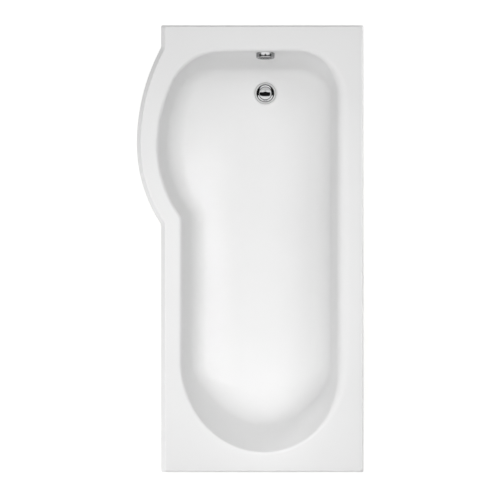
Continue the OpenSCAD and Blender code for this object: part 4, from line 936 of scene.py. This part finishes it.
# The floor is matt grey to light, and glows for the camera and for mirrors
floor_mat = bpy.data.materials.new("studio_floor")
floor_mat.use_nodes = True
ground = Tree(floor_mat.node_tree)
matt = ground.tree.nodes["Principled BSDF"]
matt.inputs["Base Color"].default_value = (FLOOR_GREY, FLOOR_GREY, FLOOR_GREY, 1)
matt.inputs["Roughness"].default_value = 0.9
matt.inputs["Specular IOR Level"].default_value = 0.0
glow = ground.new("ShaderNodeEmission")
glow.inputs["Strength"].default_value = FLOOR_GLOW
ray = ground.new("ShaderNodeLightPath")
seen = ground.math("MAXIMUM", ray.outputs["Is Camera Ray"], ray.outputs["Is Glossy Ray"])
both = ground.new("ShaderNodeAddShader")
pick = ground.new("ShaderNodeMixShader")
for a, b in ((matt.outputs[0], both.inputs[0]), (glow.outputs[0], both.inputs[1]), (seen, pick.inputs[0]),
             (matt.outputs[0], pick.inputs[1]), (both.outputs[0], pick.inputs[2]),
             (pick.outputs[0], ground.tree.nodes["Material Output"].inputs["Surface"])):
    ground.link(a, b)
floor_me.materials.append(floor_mat)

# World: what matt surfaces, polished surfaces and the camera see round the bath ----------
world = bpy.data.worlds.new("studio")
scene.world = world
world.use_nodes = True
sky = Tree(world.node_tree)
sky.tree.nodes.clear()
dx, dy, dz = sky.split(sky.new("ShaderNodeTexCoord").outputs["Generated"])


def rise(value, start, slope):
    """Goes up from 0 at the start to 1."""
    return sky.math("MULTIPLY", sky.math("SUBTRACT", value, start), slope, clamp=True)


def choose(is_ray, other, value):
    """The value for one kind of ray, and the other one for the rest."""
    n = sky.new("ShaderNodeMix", data_type="FLOAT")
    for i, v in ((0, is_ray), (2, other), (3, value)):
        sky.give(n.inputs[i], v)
    return n.outputs[0]


# Polished metal and acrylic reflect soft boxes at the head and the foot. The dark gap between them
# has a peak on its head side and is round on its foot side. Far out to both sides the light is low
GAP_HALF, GAP_TOP, PEAK_HALF, PEAK, ROUND_FOOT, ROUND_DROP = 0.62, 0.115, 0.32, 0.09, 0.155, 0.17
EDGE_SLOPE, END_FROM, END_SLOPE, SIDE_FROM, SIDE_SLOPE = 16.0, 0.60, 0.5, 0.76, 12.0
GAP_LIGHT, SIDE_LIGHT = 0.005, 0.3
side = sky.math("ABSOLUTE", dx)
across = sky.math("MINIMUM", sky.math("DIVIDE", side, GAP_HALF), 1.0)
peak = sky.math("MAXIMUM", sky.math("SUBTRACT", 1.0, sky.math("DIVIDE", side, PEAK_HALF)), 0.0)
gap_head = sky.math("ADD", sky.math("MULTIPLY", peak, PEAK), GAP_TOP)
circle = sky.math("SQRT", sky.math("SUBTRACT", 1.0, sky.math("POWER", across, 2.0)))
gap_foot = sky.math("MULTIPLY_ADD", circle, ROUND_FOOT, ROUND_DROP)
head_box = rise(dy, gap_head, EDGE_SLOPE)
foot_box = rise(sky.math("MULTIPLY", dy, -1.0), gap_foot, EDGE_SLOPE)
boxes = sky.math("MAXIMUM", sky.math("MAXIMUM", head_box, foot_box), rise(side, END_FROM, END_SLOPE))
middle = sky.math("SUBTRACT", 1.0, rise(side, SIDE_FROM, SIDE_SLOPE))
gloss = sky.math("MULTIPLY", sky.math("MULTIPLY_ADD", boxes, 1 - GAP_LIGHT, GAP_LIGHT),
                 sky.math("MULTIPLY_ADD", middle, 1 - SIDE_LIGHT, SIDE_LIGHT))

# Matt surfaces are lit by a soft overhead sky, with some more from the head end and the bow's side
ZENITH, ZENITH_POWER, HEAD_SKY, LEFT_SKY = 2.265, 8.0, 0.566, 0.322
overhead = sky.math("MULTIPLY", sky.math("POWER", sky.math("MAXIMUM", dz, 0.0), ZENITH_POWER), ZENITH)
from_head = sky.math("MULTIPLY", sky.math("MAXIMUM", dy, 0.0), HEAD_SKY)
from_left = sky.math("MULTIPLY", sky.math("MAXIMUM", sky.math("MULTIPLY", dx, -1.0), 0.0), LEFT_SKY)
plain = sky.math("ADD", overhead, sky.math("ADD", from_head, from_left))

ray = sky.new("ShaderNodeLightPath")
strength = choose(ray.outputs["Is Camera Ray"], choose(ray.outputs["Is Glossy Ray"], plain, gloss), 1.0)
background = sky.new("ShaderNodeBackground")
sky.link(strength, background.inputs["Strength"])
sky.link(background.outputs[0], sky.new("ShaderNodeOutputWorld").inputs["Surface"])


# Lamps -------------------------------------------------------------------------------
def lamp(name, place, watts, target=None, **shape):
    """An area lamp that polished surfaces don't mirror. It shines at its target, or straight down."""
    data = bpy.data.lights.new(name, "AREA")
    data.energy = watts
    for k, v in shape.items():
        setattr(data, k, v)
    o = bpy.data.objects.new(name, data)
    scene.collection.objects.link(o)
    o.location = place
    if target:
        o.rotation_euler = (Vector(target) - Vector(place)).to_track_quat("-Z", "Y").to_euler()
    o.visible_camera = False
    o.visible_glossy = False


# Wide disks for the basin, then low ones for the outer face of the lip: name, place, size, watts
BASIN, LIP = (0, 0, 0.3), (0, 0, 0.5)
for target, disks in (
        (BASIN, (("soft_head", (1.6, 1.6, 3.4), 1.0, 13.9), ("soft_side", (-3.0, -0.5, 2.0), 1.0, 17.3),
                 ("soft_low", (0, -0.2, 2.2), 0.8, 7.5), ("soft_foot", (0, -1.5, 3.8), 1.0, 21.7))),
        (LIP, (("soft_lip", (-2.6, -2.1, 0.29), 0.5, 26), ("soft_wall", (3.2, 0.9, 0.29), 0.5, 38),
               ("soft_end", (0.9, -3.4, 0.29), 0.5, 14)))):
    for name, place, size, watts in disks:
        lamp(name, place, watts, target, shape="DISK", size=size)

# Narrow strips, each for one part of the basin's floor: name, place, size, spread, watts
for name, place, (wide, long), spread, watts in (
        ("strip_bow", (-0.10, 0.30, 1.1), (0.15, 0.35), 70, 0.058),
        ("strip_bow_edge", (-0.19, 0.27, 1.1), (0.05, 0.25), 18, 0.018),
        ("strip_foot", (0.05, -0.66, 1.2), (0.3, 0.1), 50, 0.038),
        ("strip_middle", (-0.02, -0.28, 1.1), (0.1, 0.7), 30, 0.032),
        ("strip_left", (-0.13, -0.22, 1.1), (0.03, 0.75), 12, 0.021)):
    lamp(name, place, watts, shape="RECTANGLE", size=wide, size_y=long, spread=rad(spread))
